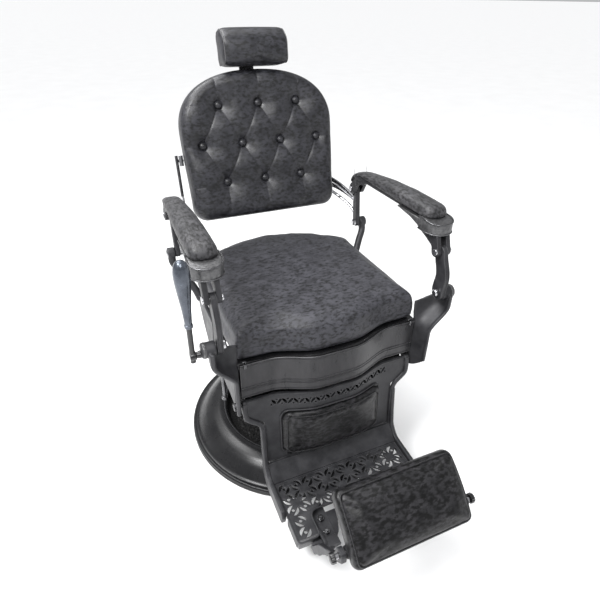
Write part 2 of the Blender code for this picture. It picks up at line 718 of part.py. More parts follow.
def make_leg_rest():
    columns, rows = 28, 12

    def place(i, j):
        z = LEG_BOTTOM + (LEG_TOP - LEG_BOTTOM) * j / rows
        x = leg_half(z) * (2 * i / columns - 1)
        return Vector((x, leg_front(x, z), z))

    panel = sheet(columns, rows, place, 0.007)
    lugs = [
        plate([filleted([
            (LEG_PIVOT[0] - 0.013, 0.335, 0.004), (LEG_PIVOT[0] + 0.012, 0.340, 0.010),
            (LEG_PIVOT[0] + 0.013, LEG_PIVOT[1] + 0.013, 0.012),
            (LEG_PIVOT[0] - 0.010, LEG_PIVOT[1] + 0.013, 0.010),
        ])], low, low + 0.0120, "X")
        for low in (LEG_SHOULDER - 0.0125, -LEG_SHOULDER + 0.0005)
    ]
    node("leg_panel", joined(panel, *lugs), "cast_pewter", "leg_rest")
    bolt = turned(
        [(0, 0.2720), (0.010, 0.2700), (0.0115, WEB_OUT + 0.0008), (PIN_RADIUS, WEB_OUT + 0.0008),
         (PIN_RADIUS, LEG_SHOULDER), (0, LEG_SHOULDER)],
        PIN_STEPS, facing="X", at=(0, *LEG_PIVOT))
    pair("leg_pivot_bolt", bolt, "bright_chrome", "leg_rest")

    rail = plate([filleted([
        (-0.284, 0.288, 0.004), (-0.269, 0.288, 0.004), (-0.276, 0.200, 0.10), (-0.282, 0.122, 0.03),
        (-0.312, 0.092, 0.03), (-0.425, 0.074, 0.012), (-0.432, 0.105, 0.008), (-0.425, 0.124, 0.008),
        (-0.326, 0.132, 0.03), (-0.303, 0.160, 0.03), (-0.294, 0.210, 0.10),
    ])], RAIL_IN, RAIL_IN + 0.012, "X", bevel=0.002)
    pair("leg_rail", rail, "cast_pewter", "leg_rest")

    half = RAIL_IN - 0.0008
    kick = plate([filleted([
        (-0.296, LEG_BOTTOM - 0.002, 0), (-0.289, LEG_BOTTOM - 0.002, 0),
        (-0.3270, 0.1115, 0.003), (-0.3350, 0.1130, 0), (-0.3345, 0.1205, 0),
    ])], -half, half, "X")
    node("kick_plate", kick, "cast_pewter", "leg_rest")

    calf_columns, calf_rows = 14, 4

    def calf(i, j):
        z = 0.182 + 0.145 * j / calf_rows
        x = 0.148 * (2 * i / calf_columns - 1)
        return Vector((x, leg_front(x, z) - 0.0016, z))

    node("calf_pad", sheet(calf_columns, calf_rows, calf, 0.020, offset=1.0), "charcoal_leather", "leg_rest")


def make_footplate():
    half, length, wing, recess = RAIL_IN - 0.0008, 0.174, 0.070, 0.136
    slope = math.atan2(0.012, length)
    frame = Matrix.Translation((0, -0.3365, 0.1165)) @ Matrix.Rotation(slope, 4, "X")
    edge = filleted([
        (-half, 0, 0), (-half, -length, 0.006), (-recess, -length, 0.006),
        (-recess, -length + wing, 0.02), (recess, -length + wing, 0.02), (recess, -length, 0.006),
        (half, -length, 0.006), (half, 0, 0),
    ])
    holes = [circle(side * 0.166, y, 0.014, 12) for side in (-1, 1) for y in (-0.140, -0.095, -0.050)]
    holes += [circle(x, -0.052, 0.019, 12) for x in (-0.105, -0.035, 0.035, 0.105)]
    top = plate([edge, *holes], -0.006, 0, frame=frame)
    flanges = [
        plate([filleted([
            (-0.436, 0.0780, 0.003), (-0.498, 0.0705, 0.006), (-0.507, 0.1020, 0), (-0.436, 0.1060, 0),
        ])], low, low + 0.006, "X")
        for low in (half - 0.0062, -half + 0.0002)
    ]
    node("footplate", joined(top, *flanges), "cast_pewter", "leg_rest")


def make_pad_arms():
    pivot = PAD_PIVOT
    foot = block((0.042, 0.125, 0.010), (0.112, -0.4780, 0.0880), bevel=0.002)
    step = block((0.068, 0.026, 0.014), (0.1290, -0.5270, 0.0920), bevel=0.002)
    arm = plate([filleted([
        (-0.514, 0.086, 0.004), (-0.538, 0.086, 0.008), (-0.588, 0.168, 0.05),
        (pivot[0] - 0.014, pivot[1] - 0.012, 0.011), (pivot[0] - 0.012, pivot[1] + 0.014, 0.010),
        (pivot[0] + 0.013, pivot[1] + 0.013, 0.010), (pivot[0] + 0.022, pivot[1] - 0.030, 0.03),
        (-0.556, 0.160, 0.05),
    ]), circle(*pivot, HOLE_RADIUS)], 0.1530, 0.1660, "X", bevel=0.0015)
    pair("foot_pad_arm", joined(foot, step, arm), "cast_pewter", "leg_rest")


def make_foot_pad():
    frame = footpad_frame()
    half_x, half_y = FOOTPAD_HALF
    shell = block((2 * half_x, 2 * half_y, 0.024), (0, 0, -0.0170), bevel=0.004)
    shell.transform(frame)
    lugs = [rod(0.0135, low, low + 0.022, PAD_PIVOT) for low in (half_x - 0.022, -half_x)]
    shell = cut(joined(shell, *lugs), rod(HOLE_RADIUS, -0.3, 0.3, PAD_PIVOT))
    node("foot_pad_shell", shell, "cast_pewter", "foot_pad")

    corners = [(-half_x, -half_y, 0.012), (half_x, -half_y, 0.012), (half_x, half_y, 0.012), (-half_x, half_y, 0.012)]
    cushion = plate([filleted(corners, 5)], -0.0045, 0.0120, bevel=0.005, frame=frame)
    node("foot_pad_cushion", cushion, "charcoal_leather", "foot_pad")

    node("foot_pad_shaft", rod(PIN_RADIUS, -0.1745, 0.1745, PAD_PIVOT), "bright_chrome", "foot_pad")
    knob = turned(
        [(0, 0.188), (0.008, 0.187), (0.012, 0.183), (0.012, 0.1755), (0, 0.1755)],
        PIN_STEPS, facing="X", at=(0, *PAD_PIVOT))
    pair("foot_pad_knob", knob, "black_enamel", "foot_pad")


# ---------------------------------------------------------------- pump lever
def make_lever():
    y, z = LEVER_PIVOT
    shaft = turned(
        [(0, -BOSS_OUT - 0.0008), (0.009, -BOSS_OUT - 0.0008), (0.007, LEVER_X + 0.008),
         (0.010, LEVER_X + 0.007), (0.010, LEVER_X - 0.006), (0, LEVER_X - 0.007)],
        PIN_STEPS, facing="X", at=(0, y, z))
    stem = tube([(LEVER_X, y, z - 0.016), (LEVER_X, y, z), (LEVER_X, y - 0.004, z + 0.080)], 0.0062)
    node("pump_lever_arm", joined(shaft, stem), "blued_steel", "lever")
    grip = [
        (0, 0.238), (0.008, 0.235), (0.0145, 0.226), (0.0175, 0.210), (0.0170, 0.190),
        (0.0140, 0.160), (0.0100, 0.125), (0.0075, 0.0805), (0, 0.0805),
    ]
    node("pump_lever_grip", turned(grip, 20, at=(LEVER_X, y - 0.004, z)), "blued_steel", "lever")


# ---------------------------------------------------------------- assembly
def make_pivots():
    make_pivot("base", (0, 0, 0))
    make_pivot("column", (0, 0, 0), "base")
    make_pivot("seat", (0, 0, 0), "column")
    make_pivot("backrest", (0, *BACK_PIVOT), "seat")
    make_pivot("leg_rest", (0, *LEG_PIVOT), "seat")
    make_pivot("foot_pad", (0, *PAD_PIVOT), "leg_rest")
    make_pivot("lever", (LEVER_X, *LEVER_PIVOT), "seat")
    for side, sign in (("_left", -1), ("_right", 1)):
        make_pivot("armrest" + side, (sign * ARM_CENTRE, *BACK_PIN), "backrest")
        make_pivot("post" + side, (sign * ARM_CENTRE, *POST_PIVOT), "seat")
    head = back_frame() @ Vector((0, HEAD_PIVOT_UP, HEAD_SLIDE_DEPTH))
    make_pivot("headrest_bar", head, "backrest")
    make_pivot("headrest", head, "headrest_bar")


clear_scene()
PARTS = make_collection("hydraulic_barber_chair")
HELPERS = make_collection("helpers", helper=True)
PIVOTS = {}
make_pivots()
make_base()
make_pump()
make_swivel()
make_side_frames()
make_apron()
make_seat()
make_back()
make_headrest()
make_armrests()
make_armrest_pad()
make_posts()
make_leg_rest()
make_footplate()
make_pad_arms()
make_foot_pad()
make_lever()
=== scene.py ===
"""Vintage hydraulic barber chair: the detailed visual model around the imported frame.

Metres, +Z up, the chair faces -Y. Left and right are as seen from in front; right is +X.
"""

import math

import bmesh
import bpy
from mathutils import Matrix, Vector, noise


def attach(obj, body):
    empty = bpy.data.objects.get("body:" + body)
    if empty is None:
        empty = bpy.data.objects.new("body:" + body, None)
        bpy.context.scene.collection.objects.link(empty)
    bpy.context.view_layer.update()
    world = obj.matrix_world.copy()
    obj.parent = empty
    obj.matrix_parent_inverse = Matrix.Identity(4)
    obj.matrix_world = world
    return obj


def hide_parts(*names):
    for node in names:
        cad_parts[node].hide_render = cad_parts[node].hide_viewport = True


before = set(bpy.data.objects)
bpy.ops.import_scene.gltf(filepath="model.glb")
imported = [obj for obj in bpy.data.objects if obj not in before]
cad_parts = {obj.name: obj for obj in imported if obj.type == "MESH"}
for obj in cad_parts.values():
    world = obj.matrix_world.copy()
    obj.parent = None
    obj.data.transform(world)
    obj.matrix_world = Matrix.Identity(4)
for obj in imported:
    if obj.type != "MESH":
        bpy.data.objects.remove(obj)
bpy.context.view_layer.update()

# ---------------------------------------------------------------- dimensions shared with the frame
WEB_IN, WEB_OUT = 0.25, 0.262
LINK_IN, LINK_OUT = 0.29, 0.304
BOSS_OUT, REAR_BOSS_OUT = 0.338, 0.326
BACK_PIVOT, POST_PIVOT = (0.162, 0.618), (-0.285, 0.598)
LINK = (0.018, 0.112)
BACK_PIN = (BACK_PIVOT[0] + LINK[0], BACK_PIVOT[1] + LINK[1])
POST_PIN = (POST_PIVOT[0] + LINK[0], POST_PIVOT[1] + LINK[1])
LEG_PIVOT, PAD_PIVOT = (-0.262, 0.374), (-0.648, 0.266)
LEVER_PIVOT, LEVER_X = (-0.287, 0.588), -0.357
SEAT_BOTTOM, SEAT_TOP, SEAT_HALF, SEAT_REAR = 0.5065, 0.598, 0.256, 0.262
APRON_TOP, APRON_BOTTOM, APRON_SIDE_Y, APRON_BULGE = 0.506, 0.4, -0.265, 0.039
BACK_TILT, BACK_CENTRE, BACK_HALF = math.radians(13.3), Vector((0, 0.243, 0.889)), 0.231
BACK_LOW, BACK_HIGH = -0.212, 0.195
ARM_CENTRE, ARM_HALF = (LINK_IN + LINK_OUT) / 2, 0.033
LEG_TOP, LEG_BOTTOM, LEG_SHOULDER, RAIL_IN = 0.386, 0.16, 0.249, 0.196
FOOTPAD_CENTRE, FOOTPAD_SLOPE = Vector((0, -0.6385, 0.3235)), math.radians(43.5)
FOOTPAD_HALF = (0.15, 0.082)
FLARE_COLUMNS, FLARE_ROWS = 26, 40
BUTTON_STEP, BUTTON_ROW = 0.117, 0.105
CLOTH_PRESSURE, CLOTH_FRAMES = 4.0, 20
WELD, TURN_WELD = 0.00001, 0.00005


# ---------------------------------------------------------------- mesh helpers
def helper(name, data):
    obj = bpy.data.objects.new(name, data)
    bpy.context.scene.collection.objects.link(obj)
    return obj


def baked(obj):
    """The object's shape with its modifiers applied, welded; the object itself is dropped."""
    bpy.context.view_layer.update()
    graph = bpy.context.evaluated_depsgraph_get()
    mesh = bpy.data.meshes.new_from_object(obj.evaluated_get(graph))
    mesh.transform(obj.matrix_world)
    bpy.data.objects.remove(obj)
    shape = bmesh.new()
    shape.from_mesh(mesh)
    bmesh.ops.remove_doubles(shape, verts=shape.verts, dist=WELD)
    bmesh.ops.recalc_face_normals(shape, faces=shape.faces)
    shape.to_mesh(mesh)
    shape.free()
    return mesh


def modified(mesh, *steps, place=None):
    """The mesh after some modifiers, each given as its type and its settings, put in its place."""
    obj = helper("modified", mesh)
    for kind, settings in steps:
        modifier = obj.modifiers.new(kind.lower(), kind)
        for key, value in settings.items():
            setattr(modifier, key, value)
    if place:
        obj.matrix_world = place
    return baked(obj)


def fused(voxel):
    return "REMESH", {"mode": "VOXEL", "voxel_size": voxel}


def softened(rounds):
    return "SMOOTH", {"iterations": rounds}


def smoothstep(t):
    t = min(max(t, 0), 1)
    return t * t * (3 - 2 * t)


def squared(value, power):
    """A sine or cosine raised to a power with its sign kept, which squares a round section."""
    return math.copysign(abs(value) ** power, value)


def filleted(corners, segments=8):
    points = []
    count = len(corners)
    for i, (a, b, radius) in enumerate(corners):
        here = Vector((a, b))
        if radius <= 0:
            points.append(here)
            continue
        before = (Vector(corners[i - 1][:2]) - here).normalized()
        after = (Vector(corners[(i + 1) % count][:2]) - here).normalized()
        half = before.angle(after) / 2
        centre = here + (before + after).normalized() * radius / math.sin(half)
        start = here + before * radius / math.tan(half) - centre
        end = here + after * radius / math.tan(half) - centre
        sweep = math.atan2(start.x * end.y - start.y * end.x, start.dot(end))
        for step in range(segments + 1):
            points.append(centre + Matrix.Rotation(sweep * step / segments, 2) @ start)
    return points


def around(pin, corners):
    """Corners given from a pin."""
    return [(pin[0] + a, pin[1] + b, radius) for a, b, radius in corners]


def circle(a, b, radius, steps):
    turns = [2 * math.pi * i / steps for i in range(steps)]
    return [Vector((a + radius * math.cos(t), b + radius * math.sin(t))) for t in turns]


FACING = {
    "X": Matrix(((0, 0, 1), (1, 0, 0), (0, 1, 0))).to_4x4(),
    "Y": Matrix(((1, 0, 0), (0, 0, -1), (0, 1, 0))).to_4x4(),
    "Z": Matrix.Identity(4),
}


def routed(curve, points, closed=True, widths=()):
    """Adds a straight-segment route to the curve."""
    spline = curve.splines.new("POLY")
    spline.points.add(len(points) - 1)
    for point, at in zip(spline.points, points):
        point.co = (*at, 1)
    for point, width in zip(spline.points, widths):
        point.radius = width
    spline.use_cyclic_u = closed


def plate(loops, low, high, facing="Z", bevel=0.0, place=None):
    """A flat part: the first loop is its edge and the others are openings."""
    curve = bpy.data.curves.new("outline", "CURVE")
    curve.dimensions, curve.fill_mode = "2D", "BOTH"
    curve.extrude, curve.offset = (high - low) / 2 - bevel, -bevel
    curve.bevel_depth, curve.bevel_resolution = bevel, 3
    for loop in loops:
        routed(curve, [(*point, 0) for point in loop])
    obj = helper("outline", curve)
    obj.matrix_world = (place or FACING[facing]) @ Matrix.Translation((0, 0, (low + high) / 2))
    return baked(obj)


def slab(corners, low, high, facing="X", bevel=0.002, steps=8):
    """A plate with one outline, given as corners with their radii."""
    return plate([filleted(corners, steps)], low, high, facing, bevel)


def turned(profile, steps, closed=False, facing="Z", at=(0, 0, 0)):
    """A part turned from a profile of (radius, height)."""
    mesh = bpy.data.meshes.new("profile")
    edges = [(i, i + 1) for i in range(len(profile) - 1)]
    if closed:
        edges.append((len(profile) - 1, 0))
    mesh.from_pydata([(radius, 0, height) for radius, height in profile], edges, [])
    screw = {"steps": steps, "render_steps": steps, "use_merge_vertices": True, "merge_threshold": TURN_WELD}
    return modified(mesh, ("SCREW", screw), place=Matrix.Translation(at) @ FACING[facing])


def rounded(profile, radius, segments):
    """The profile with its inner corners rounded; its two ends stay."""
    out = [Vector(profile[0])]
    for i in range(1, len(profile) - 1):
        here = Vector(profile[i])
        before, after = Vector(profile[i - 1]) - here, Vector(profile[i + 1]) - here
        reach = min(radius, before.length * 0.45, after.length * 0.45)
        start, end = here + before.normalized() * reach, here + after.normalized() * reach
        for k in range(segments + 1):
            t = k / segments
            out.append(start * (1 - t) ** 2 + here * 2 * t * (1 - t) + end * t * t)
    out.append(Vector(profile[-1]))
    return out


def lathe(profile, edge, steps=96, corner=4, **where):
    """A turned part whose profile has its corners rounded by edge."""
    return turned(rounded(profile, edge, corner), steps, **where)


def rod(radius, low, high, at, facing="X", steps=40, edge=0.0012):
    place = {"X": (0, *at), "Z": (*at, 0)}[facing]
    return lathe([(0, high), (radius, high), (radius, low), (0, low)], edge, steps, facing=facing, at=place)


def tube(points, radius, resolution=6, closed=False):
    curve = bpy.data.curves.new("route", "CURVE")
    curve.dimensions, curve.use_fill_caps = "3D", True
    curve.bevel_depth, curve.bevel_resolution = 1.0, resolution
    routed(curve, points, closed, [radius] * len(points))
    return baked(helper("route", curve))


def bent(points, steps=8):
    """A smooth route through the points."""
    points = [Vector(p) for p in points]
    ends = [points[0] * 2 - points[1], *points, points[-1] * 2 - points[-2]]
    route = []
    for i in range(1, len(ends) - 2):
        a, b, c, d = ends[i - 1 : i + 3]
        for step in range(steps):
            t = step / steps
            route.append(0.5 * (2 * b + (c - a) * t + (2 * a - 5 * b + 4 * c - d) * t * t
                                + (3 * b - a - 3 * c + d) * t ** 3))
    return route + [points[-1]]


def mesh_of(points, faces):
    mesh = bpy.data.meshes.new("mesh")
    mesh.from_pydata([tuple(p) for p in points], [], faces)
    return mesh


def lofted(rings):
    """A closed skin over rings that all have the same number of points."""
    count = len(rings[0])
    points = [point for ring in rings for point in ring]
    faces = [list(range(count)), list(range(len(points) - count, len(points)))]
    for k in range(len(rings) - 1):
        for i in range(count):
            j = (i + 1) % count
            faces.append([k * count + i, k * count + j, (k + 1) * count + j, (k + 1) * count + i])
    return baked(helper("loft", mesh_of(points, faces)))


def sheet(columns, rows, place, thickness, offset=-1.0):
    """A grid of spots given thickness, for bent sheet metal."""
    points = [place(i, j) for j in range(rows + 1) for i in range(columns + 1)]
    row = columns + 1
    faces = [(k, k + 1, k + row + 1, k + row) for j in range(rows) for k in range(j * row, j * row + columns)]
    solid = {"thickness": thickness, "offset": offset, "use_even_offset": True}
    return modified(mesh_of(points, faces), ("SOLIDIFY", solid))


def block(size, at, bevel):
    x, y, z = (s / 2 for s in size)
    corners = [(-x, -y, bevel), (x, -y, bevel), (x, y, bevel), (-x, y, bevel)]
    mesh = slab(corners, -z, z, "Z", min(bevel, z) * 0.9, 4)
    mesh.transform(Matrix.Translation(at))
    return mesh


def together(*meshes):
    shape = bmesh.new()
    for mesh in meshes:
        shape.from_mesh(mesh)
    mesh = bpy.data.meshes.new("together")
    shape.to_mesh(mesh)
    shape.free()
    return mesh


def cast(*meshes, voxel, smooth):
    """The shapes fused into one casting, with soft fillets where they meet."""
    return modified(together(*meshes), fused(voxel), softened(smooth))


def gridded(mesh, axis, low, high, step):
    """Adds edge loops every step along an axis, so that a flat fill can be bent."""
    shape = bmesh.new()
    shape.from_mesh(mesh)
    normal = Vector([1.0 if k == axis else 0.0 for k in range(3)])
    count = int((high - low) / step)
    for k in range(1, count):
        at = normal * (low + (high - low) * k / count)
        bmesh.ops.bisect_plane(
            shape, geom=shape.verts[:] + shape.edges[:] + shape.faces[:], plane_co=at, plane_no=normal)
    shape.to_mesh(mesh)
    shape.free()
    return mesh


def moved(mesh, place):
    for vertex in mesh.vertices:
        vertex.co = place(vertex.co.copy())
    return mesh


def mirrored(mesh):
    copy = mesh.copy()
    copy.transform(Matrix.Scale(-1, 4, (1, 0, 0)))
    copy.flip_normals()
    return copy


def piece(name, mesh, look, body, replaces=(), sharp=40):
    obj = helper(name, mesh)
    mesh.name = name
    mesh.materials.clear()
    mesh.materials.append(LOOKS[look])
    mesh.shade_smooth()
    mesh.set_sharp_from_angle(angle=math.radians(sharp))
    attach(obj, body)
    for node in replaces:
        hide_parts(node)
    return obj


def cushion(name, mesh, look, body, node):
    piece(name, mesh, look, body, [node], 80)


def pair(name, mesh, look, body, replaces=(), sharp=40):
    """A piece on each side, from the right-hand shape; a body that has sides gives each side its own."""
    sided = body in ("armrest", "post")
    made = []
    for side, shape in (("_left", mirrored(mesh)), ("_right", mesh)):
        nodes = [node + side for node in replaces]
        made.append(piece(name + side, shape, look, body + side if sided else body, nodes, sharp))
    return made


# ---------------------------------------------------------------- curves of the chair
def serpentine(x, bulge=APRON_BULGE):
    """The y of the apron's front in plan."""
    return APRON_SIDE_Y - bulge * smoothstep((0.175 - abs(x)) / 0.13)


def leaning(centre, along_y, along_z):
    """A frame at centre: its second axis is (0, along_y, along_z) and its third points out at the front."""
    axes = Matrix(((1, 0, 0), (0, along_y, along_z), (0, -along_z, along_y)))
    return Matrix.Translation(centre) @ axes.transposed().to_4x4()


BACK_FRAME = leaning(BACK_CENTRE, math.sin(BACK_TILT), math.cos(BACK_TILT))
FOOTPAD_FRAME = leaning(FOOTPAD_CENTRE, math.cos(FOOTPAD_SLOPE), math.sin(FOOTPAD_SLOPE))


def leg_front(x, z):
    """The y of the leg panel's front, which follows the apron less and less towards its foot."""
    drop = (LEG_TOP - z) / (LEG_TOP - LEG_BOTTOM)
    return serpentine(x, 0.034 * (1 - 0.55 * drop)) - 0.001 - 0.022 * drop


def on_leg(x, y, z):
    """A spot y behind the leg panel's front."""
    return Vector((x, leg_front(x, z) + y, z))


def seat_outline(inset):
    columns, arc_steps = 60, 44
    half = SEAT_HALF - inset
    front = [
        Vector((x, serpentine(x) + 0.011 + inset))
        for x in (half * (2 * i / columns - 1) for i in range(columns + 1))
    ]
    corner = 0.135
    depth = SEAT_REAR - inset - corner
    radius = (half ** 2 + depth ** 2) / (2 * depth)
    spread = math.asin(half / radius)
    middle = SEAT_REAR - inset - radius
    turns = [spread * (1 - 2 * i / arc_steps) for i in range(arc_steps + 1)]
    back = [Vector((radius * math.sin(a), middle + radius * math.cos(a))) for a in turns]
    side_right = [Vector((half, front[-1].y)).lerp(back[0], k / 24) for k in range(1, 24)]
    side_left = [back[-1].lerp(front[0], k / 24) for k in range(1, 24)]
    return front + side_right + back + side_left


def back_outline(inset):
    steps = 36
    half, low, high = BACK_HALF - inset, BACK_LOW + inset, BACK_HIGH - inset
    spring, power = 0.035, 2.35
    arch = []
    for i in range(2 * steps + 1):
        c, s = math.cos(math.pi * i / (2 * steps)), math.sin(math.pi * i / (2 * steps))
        across = squared(c, 2 / power) * half
        arch.append(Vector((across, spring + abs(s) ** (2 / power) * (high - spring))))
    radius = max(0.038 - inset * 0.5, 0.006)
    rows = [spring - 0.2 * k / 16 for k in range(1, 17)]
    left = [Vector((-half + 0.006 * smoothstep((spring - u) / 0.2), u))
            for u in rows if u > low + radius + 0.004]
    right = [Vector((-p.x, p.y)) for p in reversed(left)]
    corner_left = arc_corner(-half + 0.006, low, radius)
    corner_right = [Vector((-p.x, p.y)) for p in reversed(corner_left)]
    floor = [Vector((corner_left[-1].x * (1 - 2 * k / 40), low)) for k in range(1, 40)]
    return arch + left + corner_left + floor + corner_right + right


def arc_corner(x, low, radius):
    steps = 8
    return [
        Vector((x + radius - radius * math.cos(math.pi / 2 * k / steps),
                low + radius - radius * math.sin(math.pi / 2 * k / steps)))
        for k in range(steps + 1)
    ]


def spaced(loop, count):
    """The closed loop resampled to evenly spaced points."""
    loop = [Vector(p) for p in loop]
    lengths = [0.0]
    for i, p in enumerate(loop):
        lengths.append(lengths[-1] + (loop[(i + 1) % len(loop)] - p).length)
    out, k = [], 0
    for i in range(count):
        want = lengths[-1] * i / count
        while lengths[k + 1] < want:
            k += 1
        span = lengths[k + 1] - lengths[k]
        t = (want - lengths[k]) / span if span else 0
        out.append(loop[k].lerp(loop[(k + 1) % len(loop)], t))
    return out


def rectangle(half_a, half_b, radius):
    return filleted([(-half_a, -half_b, radius), (half_a, -half_b, radius),
                     (half_a, half_b, radius), (-half_a, half_b, radius)], 10)


def pillow(outline, profile, place=lambda *spot: spot, inner=14, count=240, crown=0.0):
    """A padded form: profile is (inset, height) from the underside's rim to the top's, and place maps it."""
    rings = [[(p.x, p.y, height) for p in spaced(outline(inset), count)] for inset, height in profile]
    for index, sign in ((0, -1), (-1, 1)):
        rim = rings[index]
        centre = Vector((sum(p[0] for p in rim) / count, sum(p[1] for p in rim) / count))
        more = []
        for k in range(1, inner + 1):
            t = 1 - k / (inner + 0.35)
            lift = crown * (1 - t * t) if sign > 0 else 0
            more.append([
                (centre.x + (a - centre.x) * t, centre.y + (b - centre.y) * t, h + lift) for a, b, h in rim])
        rings = rings + more if sign > 0 else more[::-1] + rings
    return lofted([[place(*p) for p in ring] for ring in rings])


def puffed(mesh, voxel, cap, pinned, soften=3):
    """The shape as a cloth skin blown up from inside by a little, held where pinned says."""
    start = modified(mesh, fused(voxel))
    obj = helper("cushion_cloth", start)
    rest = [vertex.co.copy() for vertex in start.vertices]
    cloth = obj.modifiers.new("cloth", "CLOTH")
    settings = cloth.settings
    settings.use_pressure = True
    settings.uniform_pressure_force = CLOTH_PRESSURE
    settings.mass = 0.3
    settings.quality = 5
    settings.tension_stiffness = settings.compression_stiffness = 15
    settings.bending_stiffness = 2.0
    settings.effector_weights.gravity = 0
    cloth.collision_settings.use_collision = False
    group = obj.vertex_groups.new(name="pinned")
    group.add([i for i, co in enumerate(rest) if pinned(co)], 1.0, "REPLACE")
    settings.vertex_group_mass = "pinned"
    scene = bpy.context.scene
    cloth.point_cache.frame_start, cloth.point_cache.frame_end = 1, CLOTH_FRAMES
    for step in range(1, CLOTH_FRAMES + 1):
        scene.frame_set(step)
    graph = bpy.context.evaluated_depsgraph_get()
    result = bpy.data.meshes.new_from_object(obj.evaluated_get(graph))
    for vertex, before in zip(result.vertices, rest):
        move = vertex.co - before
        if move.length > cap:
            vertex.co = before + move.normalized() * cap
    bpy.data.objects.remove(obj)
    scene.frame_set(1)
    return modified(result, softened(soften), ("SUBSURF", {"levels": 1, "render_levels": 1}))


# ---------------------------------------------------------------- materials
def look(name, dark, light, metallic, rough, blotch, bumps, stretch=(1, 1, 1), wear_and_edge_highlight=None, smudge=None,
         specular=0.5, coat=0, sheen=0):
    """A procedural finish: blotched colour, uneven gloss, layered bumps, and lighter edges that are partly
    rubbed wear and partly a painted highlight.
    """
    material = bpy.data.materials.new(name)
    material.use_nodes = True
    nodes, links = material.node_tree.nodes, material.node_tree.links
    shader = nodes["Principled BSDF"]

    def add(kind, inputs=(), **settings):
        node = nodes.new("ShaderNode" + kind)
        for key, value in settings.items():
            setattr(node, key, value)
        for key, value in dict(inputs).items():
            if hasattr(value, "is_output"):
                links.new(value, node.inputs[key])
            else:
                node.inputs[key].default_value = value
        return node

    def blended(share, under, over):
        blend = add("Mix", {"Factor": share, 6: under, 7: (*over, 1)}, data_type="RGBA")
        return blend.outputs[2]

    def spread_out(spread):
        return add("Mapping", {"Vector": place, "Scale": spread}).outputs["Vector"]

    def cloudy(spread, scale, detail, roughness):
        texture = {"Vector": spread_out(spread), "Scale": scale, "Detail": detail, "Roughness": roughness}
        return add("TexNoise", texture).outputs["Fac"]

    def ranged(value, low, high, least=0, most=1):
        limits = {"Value": value, "From Min": low, "From Max": high, "To Min": least, "To Max": most}
        return add("MapRange", limits).outputs["Result"]

    place = add("TexCoord").outputs["Object"]
    cloud = cloudy(stretch, blotch, 6, 0.62)
    ramp = add("ValToRGB", {"Fac": cloud})
    for stop, position, tone in zip(ramp.color_ramp.elements, (0.34, 0.68), (dark, light)):
        stop.position, stop.color = position, (*tone, 1)
    colour = ramp.outputs["Color"]
    gloss = ranged(cloud, 0.35, 0.65, *rough)
    if smudge:
        tone, size, spread, low, high = smudge
        colour = blended(ranged(cloudy(spread, size, 3, 0.55), low, high), colour, tone)
    # Edges, where the bevelled normal turns from the plain one, get a lighter colour: partly rubbed wear,
    # partly a painted highlight.
    if wear_and_edge_highlight:
        bright, radius, start = wear_and_edge_highlight
        eased = add("Bevel", {"Radius": radius}, samples=4).outputs["Normal"]
        plain = add("NewGeometry").outputs["Normal"]
        turn = add("VectorMath", {0: eased, 1: plain}, operation="DOT_PRODUCT").outputs["Value"]
        rubbed_and_lit = add("Math", {0: ranged(turn, 1, start), 1: cloud}, operation="MULTIPLY", use_clamp=True)
        colour = blended(rubbed_and_lit.outputs[0], colour, bright)
    normal = None
    for kind, size, spread, strength, distance in bumps:
        if kind == "cells":
            texture = {"Vector": spread_out(spread), "Scale": size}
            height = add("TexVoronoi", texture, feature="SMOOTH_F1").outputs["Distance"]
        else:
            height = cloudy(spread, size, 4, 0.6)
        bump = add("Bump", {"Height": height, "Strength": strength, "Distance": distance})
        if normal:
            links.new(normal, bump.inputs["Normal"])
        normal = bump.outputs["Normal"]
    for source, socket in ((colour, "Base Color"), (gloss, "Roughness"), (normal, "Normal")):
        links.new(source, shader.inputs[socket])
    for socket, value in (("Metallic", metallic), ("Specular IOR Level", specular), ("Coat Weight", coat),
                          ("Coat Roughness", 0.22), ("Sheen Weight", sheen)):
        shader.inputs[socket].default_value = value
    return material


EVEN = (1, 1, 1)


def grain(size, strength, distance, spread=EVEN, kind="noise"):
    return kind, size, spread, strength, distance


LEATHER_BUMPS = (grain(620, 0.16, 0.0004, kind="cells"), grain(150, 0.22, 0.0009, (0.6, 1.6, 1.6)),
                 grain(34, 0.25, 0.0022))
CAST_BUMPS = (grain(520, 0.16, 0.0004), grain(130, 0.14, 0.0008), grain(34, 0.06, 0.001))
